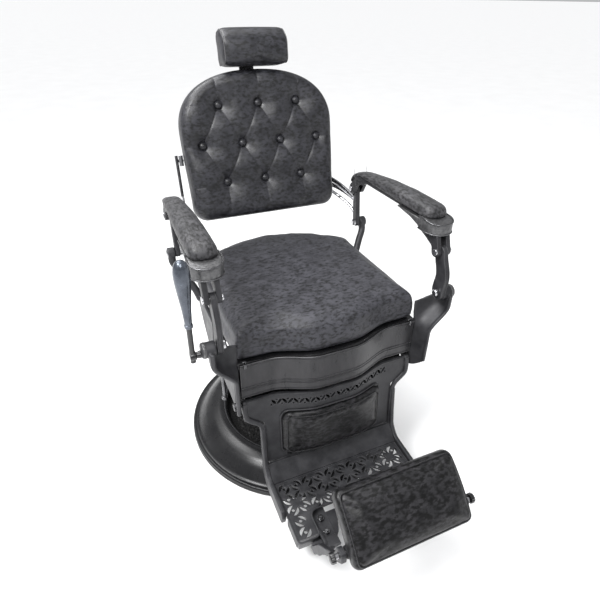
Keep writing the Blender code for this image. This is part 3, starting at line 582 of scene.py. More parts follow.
# Each finish: slot, dark and light colour, metallic, roughness range, blotch scale, bumps, the rest by name.
FINISHES = {
    "leather": ("charcoal_leather", (0.0292, 0.0292, 0.034), (0.0551, 0.0551, 0.0648), 0, (0.42, 0.54), 34,
                LEATHER_BUMPS, dict(smudge=((0.0084, 0.0084, 0.0094), 118, (0.7, 1.3, 1.3), 0.45, 0.66),
                                    specular=0.34, sheen=0.02)),
    # A darker copy of the seat leather for the calf and foot pads: painted shade for faces that take less
    # light.
    "shaded_pad_leather": ("charcoal_leather", (0.0095, 0.0095, 0.0105), (0.027, 0.026, 0.029), 0, (0.34, 0.46), 34,
                     LEATHER_BUMPS, dict(smudge=((0.001, 0.001, 0.0011), 110, (0.7, 1.3, 1.3), 0.42, 0.58),
                                         specular=0.3, sheen=0.01)),
    "back_leather": ("charcoal_leather", (0.012, 0.012, 0.015), (0.031, 0.031, 0.038), 0, (0.37, 0.47), 30,
                     LEATHER_BUMPS, dict(smudge=((0.0025, 0.0025, 0.003), 110, (0.7, 1.3, 1.3), 0.44, 0.64),
                                         sheen=0.01)),
    # A lighter copy of the seat leather for the armrest tops: painted light for the light their tops catch.
    "arm_leather_painted_light": ("charcoal_leather", (0.0348, 0.0348, 0.0377), (0.0667, 0.0653, 0.0696), 0, (0.42, 0.54),
                    34, LEATHER_BUMPS, dict(smudge=((0.012, 0.0118, 0.0122), 118, (1.6, 0.6, 1.3), 0.44, 0.62),
                                            specular=0.36, sheen=0.03)),
    "band": ("charcoal_leather", (0.0476, 0.0476, 0.0504), (0.0896, 0.0882, 0.0924), 0, (0.44, 0.58), 80,
             LEATHER_BUMPS[:2], dict(smudge=((0.035, 0.035, 0.0364), 160, EVEN, 0.52, 0.66),
                                     specular=0.4, sheen=0.04)),
    "piping": ("charcoal_leather", (0.0072, 0.0072, 0.0084), (0.0216, 0.0216, 0.0228), 0, (0.35, 0.5), 180,
               LEATHER_BUMPS[:1], dict(specular=0.4)),
    "cast": ("cast_pewter", (0.02, 0.02, 0.0225), (0.0425, 0.0425, 0.0462), 0.25, (0.38, 0.52), 30,
             CAST_BUMPS, dict(wear_and_edge_highlight=((0.16, 0.16, 0.165), 0.0022, 0.8), specular=0.38)),
    "brushed": ("cast_pewter", (0.022, 0.022, 0.024), (0.046, 0.045, 0.048), 0.35, (0.26, 0.38), 46,
                (grain(620, 0.08, 0.0003, (1, 1, 0.3)), grain(34, 0.04, 0.0008)),
                dict(wear_and_edge_highlight=((0.22, 0.22, 0.225), 0.0026, 0.8), stretch=(1, 1, 0.25), specular=0.42)),
    "satin_black": ("cast_pewter", (0.0095, 0.0095, 0.0105), (0.015, 0.015, 0.016), 0.15, (0.24, 0.31), 14,
                    (grain(520, 0.08, 0.0003), grain(60, 0.03, 0.0006)),
                    dict(wear_and_edge_highlight=((0.1, 0.1, 0.105), 0.0025, 0.8), specular=0.32, coat=0.04)),
    # Near-black crinkle finish for the base's recess: black enamel, made darker still as painted shade under
    # the seat.
    "crinkled_black_and_shade": ("black_enamel", (0.002, 0.002, 0.002), (0.006, 0.006, 0.006), 0, (0.2, 0.36), 90,
                 (grain(130, 0.7, 0.0028, kind="cells"), grain(420, 0.3, 0.0008)), dict(specular=0.15)),
    "hammered": ("hammered_silver", (0.0675, 0.0675, 0.0702), (0.1485, 0.1485, 0.1512), 0.7, (0.3, 0.44), 150,
                 (grain(260, 0.5, 0.0011, kind="cells"), grain(700, 0.12, 0.0003)),
                 dict(wear_and_edge_highlight=((0.42, 0.42, 0.42), 0.0024, 0.8))),
    "dark_chrome": ("dark_chrome", (0.072, 0.072, 0.0756), (0.144, 0.144, 0.15), 0.9, (0.2, 0.32), 30,
                    (grain(240, 0.07, 0.0004),), dict(wear_and_edge_highlight=((0.5, 0.5, 0.51), 0.0016, 0.85))),
    "dull_chrome": ("bright_chrome", (0.03, 0.03, 0.032), (0.06, 0.06, 0.063), 0.8, (0.3, 0.42), 30,
                    (grain(240, 0.07, 0.0004),), {}),
    "chrome": ("bright_chrome", (0.4, 0.4, 0.41), (0.58, 0.58, 0.6), 1, (0.08, 0.2), 34,
               (grain(260, 0.04, 0.0003),), {}),
    "enamel": ("black_enamel", (0.0054, 0.0054, 0.0062), (0.012, 0.012, 0.0132), 0.1, (0.18, 0.26), 40,
               (grain(160, 0.1, 0.0006),), dict(wear_and_edge_highlight=((0.1, 0.1, 0.1), 0.002, 0.8), coat=0.3)),
    "blued": ("blued_steel", (0.0408, 0.048, 0.0624), (0.09, 0.1032, 0.1272), 0.6, (0.16, 0.28), 38,
              (grain(220, 0.05, 0.0004),), dict(wear_and_edge_highlight=((0.35, 0.37, 0.41), 0.0018, 0.82), coat=0.35)),
    "rubber": ("black_rubber", (0.0078, 0.0078, 0.0078), (0.0208, 0.0208, 0.0221), 0, (0.45, 0.65), 70,
               (grain(500, 0.16, 0.0004),), {}),
    "board": ("painted_board", (0.0156, 0.0143, 0.0143), (0.0364, 0.0338, 0.0325), 0, (0.45, 0.62), 26,
              (grain(260, 0.2, 0.0005, (1, 1, 0.15)),), dict(stretch=(1, 1, 0.2))),
    "floor": (None, (0.9, 0.9, 0.9), (0.93, 0.93, 0.93), 0, (0.6, 0.7), 3,
              (grain(60, 0.02, 0.001),), dict(specular=0.2)),
}
SLOTS = {name: finish[0] for name, finish in FINISHES.items()}
LOOKS = {name: look(name, *finish[1:7], **finish[7]) for name, finish in FINISHES.items()}
# The finish that a frame node gets for its slot.
SLOT_LOOKS = {SLOTS[name]: name for name in (
    "leather", "cast", "hammered", "dark_chrome", "chrome", "enamel", "blued", "rubber", "board")}


def dress_frame():
    """Every node carried over from the frame gets the finish of its slot."""
    for name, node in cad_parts.items():
        if name.startswith("leg_pivot_bolt"):
            node.material_slots[0].material = LOOKS["dull_chrome"]
            continue
        for place in node.material_slots:
            for slot, finish in SLOT_LOOKS.items():
                if place.material and place.material.name.startswith(slot):
                    place.material = LOOKS[finish]
                    break


# ---------------------------------------------------------------- base and pump
def make_base():
    hub = 0.0635
    top = rounded([
        (hub, 0.064), (0.084, 0.064), (0.088, 0.036), (0.1, 0.031), (0.2, 0.031),
        (0.216, 0.036), (0.224, 0.05), (0.227, 0.064), (0.236, 0.073), (0.252, 0.0755),
        (0.275, 0.068), (0.295, 0.054), (0.311, 0.038), (0.323, 0.024), (0.331, 0.0195),
        (0.339, 0.022), (0.3435, 0.017), (0.3435, 0.0125),
    ], 0.009, 6)
    under = [(0.317, 0.0125), (0.289, 0.047), (0.252, 0.067), (0.2345, 0.06), (0.222, 0.03),
             (0.202, 0.023), (0.078, 0.023), (0.078, 0.0075), (hub, 0.0075)]
    dish = turned(top + under, 160, closed=True)
    piece("base_dish_casting", dish, "satin_black", "base", ["base_dish"], 60)
    groove = [(0.2285, 0.0655), (0.23, 0.0705), (0.2325, 0.0725), (0.235, 0.0733), (0.233, 0.0705)]
    piece("base_inner_bead", turned(groove, 160, closed=True), "cast", "base", sharp=60)
    recess = lathe([
        (0.0895, 0.0362), (0.1002, 0.0322), (0.2, 0.0322), (0.215, 0.037), (0.2222, 0.05),
        (0.226, 0.0625), (0.2272, 0.062), (0.2236, 0.0495), (0.216, 0.0362), (0.2003, 0.0312),
        (0.1, 0.0312), (0.0888, 0.0354),
    ], 0.005, 200, 5, closed=True)
    for vertex in recess.vertices:
        spot = Vector(vertex.co)
        if math.hypot(spot.x, spot.y) < 0.218 and spot.z > 0.0318:
            vertex.co.z += 0.0012 * (0.5 + 0.5 * noise.noise(spot * 46))
    # The liner's near-black colour is partly painted shade in the recess under the seat.
    piece("base_recess_liner", recess, "crinkled_black_and_shade", "base", sharp=60)
    ring = lathe([(0.3135, 0.012), (0.342, 0.012), (0.344, 0.009), (0.344, 0.002), (0.342, 0), (0.3135, 0)],
                 0.0015, 160, closed=True)
    piece("base_rubber_foot", ring, "rubber", "base", ["base_rubber_ring"])


def make_pump():
    cylinder = lathe([
        (0.0358, 0.285), (0.06, 0.285), (0.06, 0.262), (0.0575, 0.258), (0.0575, 0.11),
        (0.06, 0.106), (0.06, 0.075), (0.0625, 0.072), (0.0625, 0.0075), (0.0358, 0.0075),
    ], 0.002, closed=True)
    piece("pump_body", cylinder, "enamel", "base", ["pump_cylinder"])
    seal = lathe([(0.0358, 0.2855), (0.056, 0.2855), (0.056, 0.295), (0.05, 0.3), (0.0358, 0.3)],
                 0.0015, closed=True)
    piece("pump_wiper", seal, "rubber", "base", ["pump_seal_ring"])
    piece("pump_piston", rod(0.035, 0.055, 0.346, (0, 0), "Z", 96), "chrome", "column", ["lift_piston"])
    flange = lathe([(0.064, 0.065), (0.083, 0.065), (0.083, 0.069), (0.07, 0.073), (0.064, 0.073)],
                   0.001, closed=True)
    piece("pump_flange", flange, "satin_black", "base")
    for k in range(6):
        turn = math.pi / 6 + k * math.pi / 3
        head = hex_head(0.0052, 0.004, (0.0765 * math.cos(turn), 0.0765 * math.sin(turn), 0.069))
        piece(f"pump_flange_bolt_{k + 1}", head, "dark_chrome", "base")


def hex_head(radius, height, at):
    turns = [k * math.pi / 3 for k in range(6)]
    corners = [(radius * math.cos(t), radius * math.sin(t), 0.0004) for t in turns]
    mesh = slab(corners, 0, height, "Z", 0.0006, 3)
    mesh.transform(Matrix.Translation(at))
    return mesh


# ---------------------------------------------------------------- seat and its frame
def flare(i, j):
    """A spot of the channel that widens around the front post's boss; i runs across it and j up it."""
    s = i / FLARE_COLUMNS
    low = 0.352 + 0.04 * s ** 2
    z = low + (0.564 + 0.032 * smoothstep(s) - low) * j / FLARE_ROWS
    wide = smoothstep((z - 0.49) / (0.562 - 0.49))
    start = Vector((WEB_IN, -0.258, z))
    back = Vector((0.256 + 0.05 * wide, -0.276 + 0.022 * wide, z))
    side = Vector((0.262 + 0.057 * wide, -0.29 + 0.026 * wide, z))
    rim = Vector((0.268 + 0.049 * wide, -0.312, z))
    r = 1 - s
    return start * r ** 3 + back * 3 * r * r * s + side * 3 * r * s * s + rim * s ** 3


def make_side_frames():
    web = slab([
        (-0.256, 0.5, 0), (0.105, 0.502, 0.01), (0.122, 0.486, 0.01), (0.075, 0.42, 0.05),
        (0.02, 0.368, 0.03), (-0.205, 0.362, 0.03), (-0.25, 0.352, 0),
    ], WEB_IN, WEB_OUT, bevel=0.0025)
    bridge = tube(bent([
        (0.258, 0.088, 0.488), (0.271, 0.11, 0.522), (0.296, 0.136, 0.562),
        (0.314, 0.152, 0.59), (0.316, 0.16, 0.612),
    ]), 0.0112)
    rear_boss = rod(0.0165, LINK_OUT + 0.0006, REAR_BOSS_OUT, BACK_PIVOT)
    channel = sheet(FLARE_COLUMNS, FLARE_ROWS, flare, 0.007)
    low_centre = (POST_PIVOT[0], POST_PIVOT[1] - 0.004)
    front_boss = rod(0.018, LINK_OUT + 0.0006, BOSS_OUT, low_centre)
    rim_shift = Vector((-0.0005, 0.001, 0))
    bead = tube([flare(FLARE_COLUMNS, j) + rim_shift for j in range(FLARE_ROWS + 1)], 0.0038)
    frame_mesh = cast(web, channel, bridge, rear_boss, front_boss, bead, voxel=0.0021, smooth=6)
    pair("side_frame_casting", frame_mesh, "cast", "seat", ["side_frame"], 60)

    rear_cap = lathe([(0, 0.33), (0.0085, 0.329), (0.012, REAR_BOSS_OUT), (0.012, 0.324), (0, 0.324)],
                     0.001, 40, facing="X", at=(0, *BACK_PIVOT))
    pair("rear_boss_cap", rear_cap, "chrome", "seat")
    front_cap = lathe([(0, 0.3375), (0.015, 0.3375), (0.0172, 0.3352), (0.0188, 0.334), (0.0188, 0.329),
                       (0.018, 0.327), (0, 0.327)], 0.001, 48, facing="X", at=(0, *low_centre))
    pair("front_boss_cap", front_cap, "hammered", "seat")


def apron_relief(z):
    """How far the apron's face stands out: a bead at the top, a pair of ridges, a rolled foot."""
    relief = 0.003 * math.exp(-((z - (APRON_TOP - 0.0028)) / 0.0022) ** 2)
    for ridge in (APRON_BOTTOM + 0.033, APRON_BOTTOM + 0.025):
        relief += 0.0018 * math.exp(-((z - ridge) / 0.0017) ** 2)
    relief += 0.0022 * math.exp(-((z - (APRON_BOTTOM + 0.003)) / 0.003) ** 2)
    return relief


def make_apron():
    half, columns, rows = WEB_IN - 0.0015, 150, 90

    def place(i, j):
        x = -half + 2 * half * i / columns
        z = APRON_BOTTOM + (APRON_TOP - APRON_BOTTOM) * j / rows
        return Vector((x, serpentine(x) - apron_relief(z), z))

    def shelf(i, j):
        x = -half + 2 * half * i / 60
        return Vector((x, serpentine(x) + 0.007 + 0.06 * j / 4, 0.5035 - 0.01 * (j == 0)))

    def skirt(i, j):
        x = 0.2355 * (2 * i / 60 - 1)
        return Vector((x, serpentine(x, 0.012) + 0.021, 0.352 + 0.052 * j / 2))

    piece("apron_casting", sheet(columns, rows, place, 0.008), "brushed", "seat", ["apron"], 60)
    piece("apron_ledge", sheet(60, 4, shelf, 0.0025), "enamel", "seat", sharp=60)
    piece("apron_skirt", sheet(60, 2, skirt, 0.002), "enamel", "seat", sharp=60)
    clip = block((0.01, 0.006, 0.008), (0.236, APRON_SIDE_Y + 0.004, APRON_TOP + 0.004), 0.0016)
    tab = block((0.008, 0.004, 0.014), (0.236, APRON_SIDE_Y - 0.0035, APRON_TOP - 0.003), 0.0012)
    pair("apron_clip", together(clip, tab), "dark_chrome", "seat")


def make_seat():
    low, high = SEAT_BOTTOM + 0.0006, SEAT_TOP - 0.0075
    profile = [(0.014, low), (0.0045, low + 0.0035), (0.0012, low + 0.012), (0.0006, low + 0.03),
               (0.0006, low + 0.05), (0.0018, high - 0.018), (0.0048, high - 0.0095), (0.0105, high - 0.0036),
               (0.02, high - 0.0004), (0.04, high + 0.0014)]
    mesh = pillow(seat_outline, profile, inner=16, count=300, crown=0.0035)
    mesh = puffed(mesh, 0.005, 0.007, pinned=lambda co: co.z < low + 0.004, soften=14)
    highest = max(vertex.co.z for vertex in mesh.vertices)
    for vertex in mesh.vertices:
        co = vertex.co
        vertex.co.z = max(low + (co.z - low) * (SEAT_TOP - low) / (highest - low), low)
        if co.z > high - 0.02:
            vertex.co.z += 0.0008 * noise.noise(Vector((co.x * 7, co.y * 22, 0))) - 0.0015 * math.exp(
                -((co.x / 0.12) ** 2 + ((co.y - 0.03) / 0.1) ** 2))
    cushion("seat_pad", mesh, "leather", "seat", "seat_cushion")


# ---------------------------------------------------------------- tufted back
BUTTONS = (
    [(k * BUTTON_STEP, BUTTON_ROW) for k in (-1, 0, 1)]
    + [(k * BUTTON_STEP, 0.0) for k in (-1.5, -0.5, 0.5, 1.5)]
    + [(k * BUTTON_STEP, -BUTTON_ROW) for k in (-1, 0, 1)]
)


def tuft_creases():
    """Folds between neighbouring buttons and out to the rim: (start, end, depth)."""
    folds = []
    for i, a in enumerate(BUTTONS):
        for b in BUTTONS[i + 1:]:
            across, up = b[0] - a[0], b[1] - a[1]
            if abs(abs(across) - BUTTON_STEP / 2) < 0.001 and abs(abs(up) - BUTTON_ROW) < 0.001:
                folds.append((a, b, 0.015 if across * up > 0 else 0.009))
    for across in (-1, 0, 1):
        x = across * BUTTON_STEP
        folds.append(((x, BUTTON_ROW), (x * 1.05, 0.188), 0.0075))
        folds.append(((x, -BUTTON_ROW), (x * 1.03, -0.185), 0.0065))
    for side in (-1, 1):
        folds.append(((side * 1.5 * BUTTON_STEP, 0), (side * 0.224, 0.0), 0.0065))
        folds.append(((side * BUTTON_STEP, BUTTON_ROW), (side * 0.205, 0.105), 0.0035))
        folds.append(((side * BUTTON_STEP, -BUTTON_ROW), (side * 0.215, -0.112), 0.0035))
    return folds


def tufting(across, up, folds):
    """Depth below the pad's full crown at a point of its face."""
    depth = 0.0
    for x, y in BUTTONS:
        away = math.hypot(across - x, up - y)
        depth += 0.0245 * math.exp(-(away / 0.039) ** 1.45) + 0.003 * math.exp(-(away / 0.0125) ** 4)
    line, trough = 0.0, 0.0
    for (ax, ay), (bx, by), deep in folds:
        dx, dy = bx - ax, by - ay
        t = ((across - ax) * dx + (up - ay) * dy) / (dx * dx + dy * dy)
        end = min(max(t, 0), 1)
        away = math.hypot(across - ax - end * dx, up - ay - end * dy)
        sag = 1 - 0.25 * math.sin(math.pi * end)
        line = max(line, 0.5 * deep * sag * math.exp(-away / 0.003))
        trough += (0.6 * deep * sag * math.exp(-(away / 0.022) ** 2)) ** 3
    return math.hypot(depth, line + trough ** (1 / 3))


def make_back():
    profile = [(0.012, -0.049), (0.004, -0.046), (0.0008, -0.038), (0.0006, -0.025), (0.001, -0.012),
               (0.0028, 0.0), (0.007, 0.009), (0.014, 0.016), (0.024, 0.02), (0.038, 0.0222)]
    mesh = pillow(back_outline, profile, inner=18, count=300, crown=0.003)
    mesh = modified(mesh, fused(0.0021), softened(6))
    folds = tuft_creases()
    for vertex in mesh.vertices:
        a, b, c = vertex.co
        if c > -0.012:
            front = smoothstep((c + 0.012) / 0.026)
            wave, crease = noise.noise(Vector((a * 26, b * 26, 3))), noise.noise(Vector((a * 70, b * 70, 9)))
            vertex.co.z = c - front * (tufting(a, b, folds) + (0.0007 * wave + 0.0004 * crease))
        vertex.co.z = max(vertex.co.z, -0.0497)
    mesh.transform(BACK_FRAME)
    cushion("back_pad", modified(mesh, softened(1)), "back_leather", "backrest", "back_cushion")
    button = lathe([(0, 0.0085), (0.004, 0.0078), (0.0078, 0.0058), (0.0102, 0.0026), (0.011, -0.0006),
                    (0.0102, -0.0035), (0, -0.0035)], 0.0015, 40)
    for k, (across, up) in enumerate(BUTTONS):
        disc = button.copy()
        disc.transform(BACK_FRAME @ Matrix.Translation((across, up, -0.0015)))
        piece(f"back_button_{k + 1:02d}", disc, "back_leather", "backrest", sharp=80)


def make_back_arms():
    link = slab([
        *around(BACK_PIVOT, [(-0.014, -0.013, 0.0115), (0.013, -0.013, 0.0115)]),
        *around(BACK_PIN, [(0.012, 0.012, 0.01), (-0.012, 0.012, 0.01)]),
    ], LINK_IN, LINK_OUT, bevel=0.003)
    side, behind, columns = BACK_HALF + 0.0145, -0.056, 36
    start = BACK_FRAME @ Vector((side, -0.15, behind))
    bend = Vector((side + 0.02, start.y - 0.03, start.z - 0.004))
    end = Vector((LINK_IN + 0.004, BACK_PIN[0] - 0.006, BACK_PIN[1] - 0.038))

    def band(low, high):
        def spot(i, j):
            s = i / columns
            middle = start.lerp(bend, s).lerp(bend.lerp(end, s), s)
            across = low + (high - low) * j / 8
            crown = 0.0012 * math.sin(math.pi * j / 8)
            return middle + Vector((crown, -crown, 0.016 * (1 - 0.5 * s) * across))
        return sheet(columns, 8, spot, 0.005, offset=0)

    upright = tube(bent([BACK_FRAME @ Vector((side, up, behind)) for up in (-0.185, -0.1, -0.02)]), 0.0045, 8)
    stay = tube(bent([
        BACK_FRAME @ Vector((side, -0.18, -0.054)), (0.268, 0.236, 0.684), (0.288, 0.2, 0.664),
        (0.297, 0.172, 0.64),
    ], 14), 0.0052, 8)
    anchor = tube([BACK_FRAME @ Vector((x, -0.035, -0.0565)) for x in (side, BACK_HALF - 0.0045)], 0.004)
    pair("back_arm_link", together(link, anchor), "cast", "backrest", ["back_arm"], 40)
    pair("back_arm_bands", together(band(-1, -0.12), band(0.12, 1), stay), "chrome", "backrest", (), 50)
    pair("back_arm_upright", upright, "dark_chrome", "backrest", (), 60)
    strap = block((0.012, 0.03, 0.0025), (BACK_HALF + 0.0035, -0.035, -0.047), 0.001)
    strap.transform(BACK_FRAME)
    pair("back_arm_strap", strap, "chrome", "backrest")


def make_headrest():
    half = 0.095
    outline = spaced(filleted([
        (0.038, 0.1985, 0.02), (0.044, 0.264, 0.036), (0.01, 0.298, 0.032),
        (-0.037, 0.292, 0.014), (-0.037, 0.202, 0.01),
    ], 10), 120)
    middle = sum(outline, Vector((0, 0))) / len(outline)

    def drawn_in(inset):
        return [middle + (p - middle) * (1 - inset / (p - middle).length) for p in outline]

    loops = []
    for x, inset in ((1.0, 0.023), (0.992, 0.015), (0.975, 0.009), (0.945, 0.005), (0.9, 0.0026),
                     (0.8, 0.001), (0.6, 0.0004), (0.4, 0.0002), (0.2, 0.0), (0.0, 0.0)):
        bulge = Vector((0.0015 * (1 - (x * x)), 0))
        ring = [p + bulge if p.x > -0.02 else p for p in drawn_in(inset)]
        loops.append([(x * half, p.y, p.x) for p in ring])
    loops += [[(-a, b, c) for a, b, c in loop] for loop in loops[-2::-1]]
    caps = []
    for t in (0.75, 0.5, 0.25, 0.05):
        x = half * (1.0 + 0.012 * (1 - t))
        caps.append([(x, middle.y + (b - middle.y) * t, middle.x + (c - middle.x) * t)
                     for _, b, c in loops[0]])
    loops = caps[::-1] + loops + [[(-a, b, c) for a, b, c in cap] for cap in caps]
    mesh = puffed(lofted(loops), 0.004, 0.004, pinned=lambda co: co.z < -0.034)
    for vertex in mesh.vertices:
        co = vertex.co
        vertex.co += Vector((0, 0, 0.0006 * noise.noise(Vector((co.x * 30, co.y * 30, co.z * 30)))))
        vertex.co.y = max(co.y, 0.202 - 0.055 * (co.z + 0.037))
    mesh.transform(BACK_FRAME)
    cushion("headrest_pad", mesh, "back_leather", "headrest", "headrest_cushion")
    seams = [tube([BACK_FRAME @ Vector((x, p.y, p.x)) for p in drawn_in(0.0052)], 0.0015, 4, closed=True)
             for x in (-0.0893, 0.0893)]
    piece("headrest_piping", together(*seams), "band", "headrest", sharp=80)


# ---------------------------------------------------------------- armrests and posts
def armrest_station(route, i):
    """The route's spot i in side view, and the direction square to the route there."""
    here = Vector(route[i][:2])
    before, after = Vector(route[max(i - 1, 0)][:2]), Vector(route[min(i + 1, len(route) - 1)][:2])
    along = (after - before).normalized()
    return here, Vector((-along.y, along.x))


def make_armrest_pads():
    # Each station: y, z of the underside, half width, thickness.
    stations = [
        (-0.212, 0.7864, 0.0335, 0.0292), (-0.17, 0.7864, 0.0338, 0.0306), (-0.1, 0.7864, 0.0335, 0.0308),
        (0.0, 0.7864, 0.0312, 0.0255), (0.08, 0.7864, 0.0275, 0.016), (0.125, 0.7852, 0.0245, 0.0112),
        (0.153, 0.7792, 0.0225, 0.0102), (0.174, 0.7682, 0.021, 0.01), (0.186, 0.7545, 0.0194, 0.009),
        (0.1893, 0.7445, 0.0172, 0.007),
    ]
    route = []
    for i in range(len(stations) - 1):
        for step in range(6):
            t = step / 6
            route.append(tuple(a + (b - a) * t for a, b in zip(stations[i], stations[i + 1])))
    route.append(stations[-1])
    nose = [math.radians(4 + 86 * k / 12) for k in range(12)]
    route = [(-0.212 - 0.0255 * math.cos(a), 0.7864, 0.0335 * math.sin(a) ** 0.8, 0.0292 * math.sin(a) ** 0.7)
             for a in nose] + route
    section = []
    for k in range(33):
        turn = math.pi * k / 32
        section.append((-squared(math.cos(turn), 0.62), math.sin(turn) ** 0.72))
    rings = []
    for i, (_, _, half, depth) in enumerate(route):
        here, normal = armrest_station(route, i)
        rings.append([Vector((ARM_CENTRE + across * half, *(here + normal * (up * depth))))
                      for across, up in section])
    mesh = puffed(lofted(rings), 0.004, 0.003, pinned=lambda co: co.z < 0.7885)
    for vertex in mesh.vertices:
        co = vertex.co
        if co.z > 0.79:
            vertex.co.z += 0.0006 * noise.noise(Vector((co.x * 30, co.y * 60, 1)))
    for one in pair("armrest_top_pad", mesh, "arm_leather_painted_light", "armrest", ["armrest_pad"], 80):
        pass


def make_armrests():
    tray = slab([
        (-0.2, 0.7735, 0), (0.12, 0.7735, 0.03), (0.152, 0.766, 0.01),
        (0.156, 0.7765, 0.003), (0.125, 0.7845, 0.03), (-0.2, 0.7845, 0),
    ], ARM_CENTRE - 0.022, ARM_CENTRE + 0.022)
    rear_cheek = [
        (0.085, 0.778, 0.002), (0.105, 0.764, 0.02), (0.148, 0.752, 0.02),
        *around(BACK_PIN, [(-0.013, -0.014, 0.011), (0.011, -0.014, 0.011), (0.009, 0.011, 0.009)]),
        (0.164, 0.765, 0.02), (0.146, 0.7745, 0.02),
    ]
    front_cheek = [
        (-0.15, 0.778, 0), (-0.199, 0.778, 0), (-0.199, 0.7512, 0), (-0.262, 0.7512, 0),
        *around(POST_PIN, [(-0.015, -0.014, 0.012), (0.014, -0.014, 0.012), (0.02, 0.01, 0.01)]),
        (-0.218, 0.733, 0.01), (-0.185, 0.744, 0.02), (-0.16, 0.762, 0.02),
    ]
    cheeks = [slab(corners, low, low + 0.012, bevel=0.001)
              for corners in (rear_cheek, front_cheek) for low in (LINK_IN - 0.013, LINK_OUT + 0.001)]
    pair("armrest_bracket", together(tray, *cheeks), "cast", "armrest", ["armrest_rail"])
    low, high = LINK_IN - 0.012, LINK_OUT + 0.012
    pins = []
    for at in (BACK_PIN, POST_PIN):
        pins += [rod(0.0088, LINK_IN - 0.0165, low, at, edge=0.0015),
                 rod(0.0088, high, LINK_OUT + 0.0165, at, edge=0.0015), rod(0.0056, low, high, at)]
    pair("armrest_pins", together(*pins), "chrome", "armrest")

    low_x, high_x = ARM_CENTRE - ARM_HALF - 0.004, ARM_CENTRE + ARM_HALF + 0.004
    tip, root = -0.268, -0.2045
    outline = filleted([(low_x, root, 0), (low_x, tip, 0.034), (high_x, tip, 0.034), (high_x, root, 0)], 14)
    body = gridded(plate([outline], 0.752, 0.7875, bevel=0.0045), 1, tip, root, 0.006)

    def slope(y):
        return 0.006 * smoothstep((-0.215 - y) / 0.05)

    wedge = moved(body, lambda co: Vector((co.x, co.y, co.z - slope(co.y) * (co.z > 0.77))))
    pair("armrest_end_cap", wedge, "hammered", "armrest", ["armrest_cap"], 50)
    gusset = slab([
        (-0.208, 0.753, 0.004), (-0.208, 0.777, 0), (-0.098, 0.777, 0), (-0.096, 0.7738, 0),
        (-0.16, 0.766, 0.05),
    ], ARM_CENTRE - 0.0325, ARM_CENTRE + 0.0325, bevel=0.0025)
    pair("armrest_cap_gusset", gusset, "hammered", "armrest", (), 50)
    rim_low = tube([Vector((p.x, p.y, 0.7545)) for p in outline], 0.002, 5, closed=True)
    rim_high = tube([Vector((p.x, p.y + 0.001, 0.787 - slope(p.y))) for p in outline], 0.0022, 5, closed=True)
    pair("armrest_cap_rims", together(rim_low, rim_high), "dark_chrome", "armrest", (), 60)


def make_posts():
    low, high = POST_PIVOT, POST_PIN
    outline = filleted([
        *around(low, [(-0.02, -0.02, 0.019), (0.019, -0.019, 0.018), (0.024, 0.045, 0.05)]),
        *around(high, [(0.015, -0.03, 0.05), (0.0135, 0.0135, 0.0125), (-0.0135, 0.0135, 0.0125),
                       (-0.026, -0.04, 0.05)]),
        *around(low, [(-0.014, 0.04, 0.05)]),
    ], 12)

    def bow(z):
        return -0.009 * math.sin(math.pi * min(max((z - low[1]) / (high[1] - low[1]), 0), 1)) ** 2

    bar = plate([outline], LINK_IN + 0.001, LINK_OUT - 0.001, "X", bevel=0.003)
    gridded(bar, 2, low[1], high[1], 0.006)
    moved(bar, lambda co: Vector((co.x, co.y + bow(co.z), co.z)))
    beads = [tube([Vector((x, p.x + bow(p.y), p.y)) for p in spaced(outline, 120)], 0.0012, 4, closed=True)
             for x in (LINK_IN + 0.0014, LINK_OUT - 0.0014)]
    pair("front_post_bar", bar, "cast", "post", ["front_post"])
    pair("front_post_bead", together(*beads), "cast", "post", (), 60)


# ---------------------------------------------------------------- leg rest and foot pad
def leaf(x, y, length, width, turn):
    """A pointed opening."""
    turns = [math.pi * (k / 14) for k in range(14)]
    points = [(side * length / 2 * math.cos(t), side * width / 2 * math.sin(t) ** 1.25)
              for side in (1, -1) for t in turns]
    spin = Matrix.Rotation(turn, 2)
    return [Vector((x, y)) + spin @ Vector(p) for p in points]


def crescent(x, y, turn):
    """A curled opening."""
    radius, thick, sweep, steps = 0.0152, 0.0084, 1.15, 12
    outer = [(radius * math.cos(a), radius * math.sin(a))
             for a in (sweep * (2 * k / steps - 1) for k in range(steps + 1))]
    inner = [(radius * math.cos(a) - thick * math.cos(a * math.pi / 2 / sweep), radius * math.sin(a) * 0.96)
             for a in (sweep * (1 - 2 * k / steps) for k in range(1, steps))]
    spin = Matrix.Rotation(turn, 2)
    return [Vector((x, y)) + spin @ Vector(p) for p in outer + inner]


def leg_half(z):
    """Half the leg panel's width, which steps out to the shoulder."""
    return RAIL_IN - 0.001 + (LEG_SHOULDER - RAIL_IN) * smoothstep((z - 0.302) / 0.024)


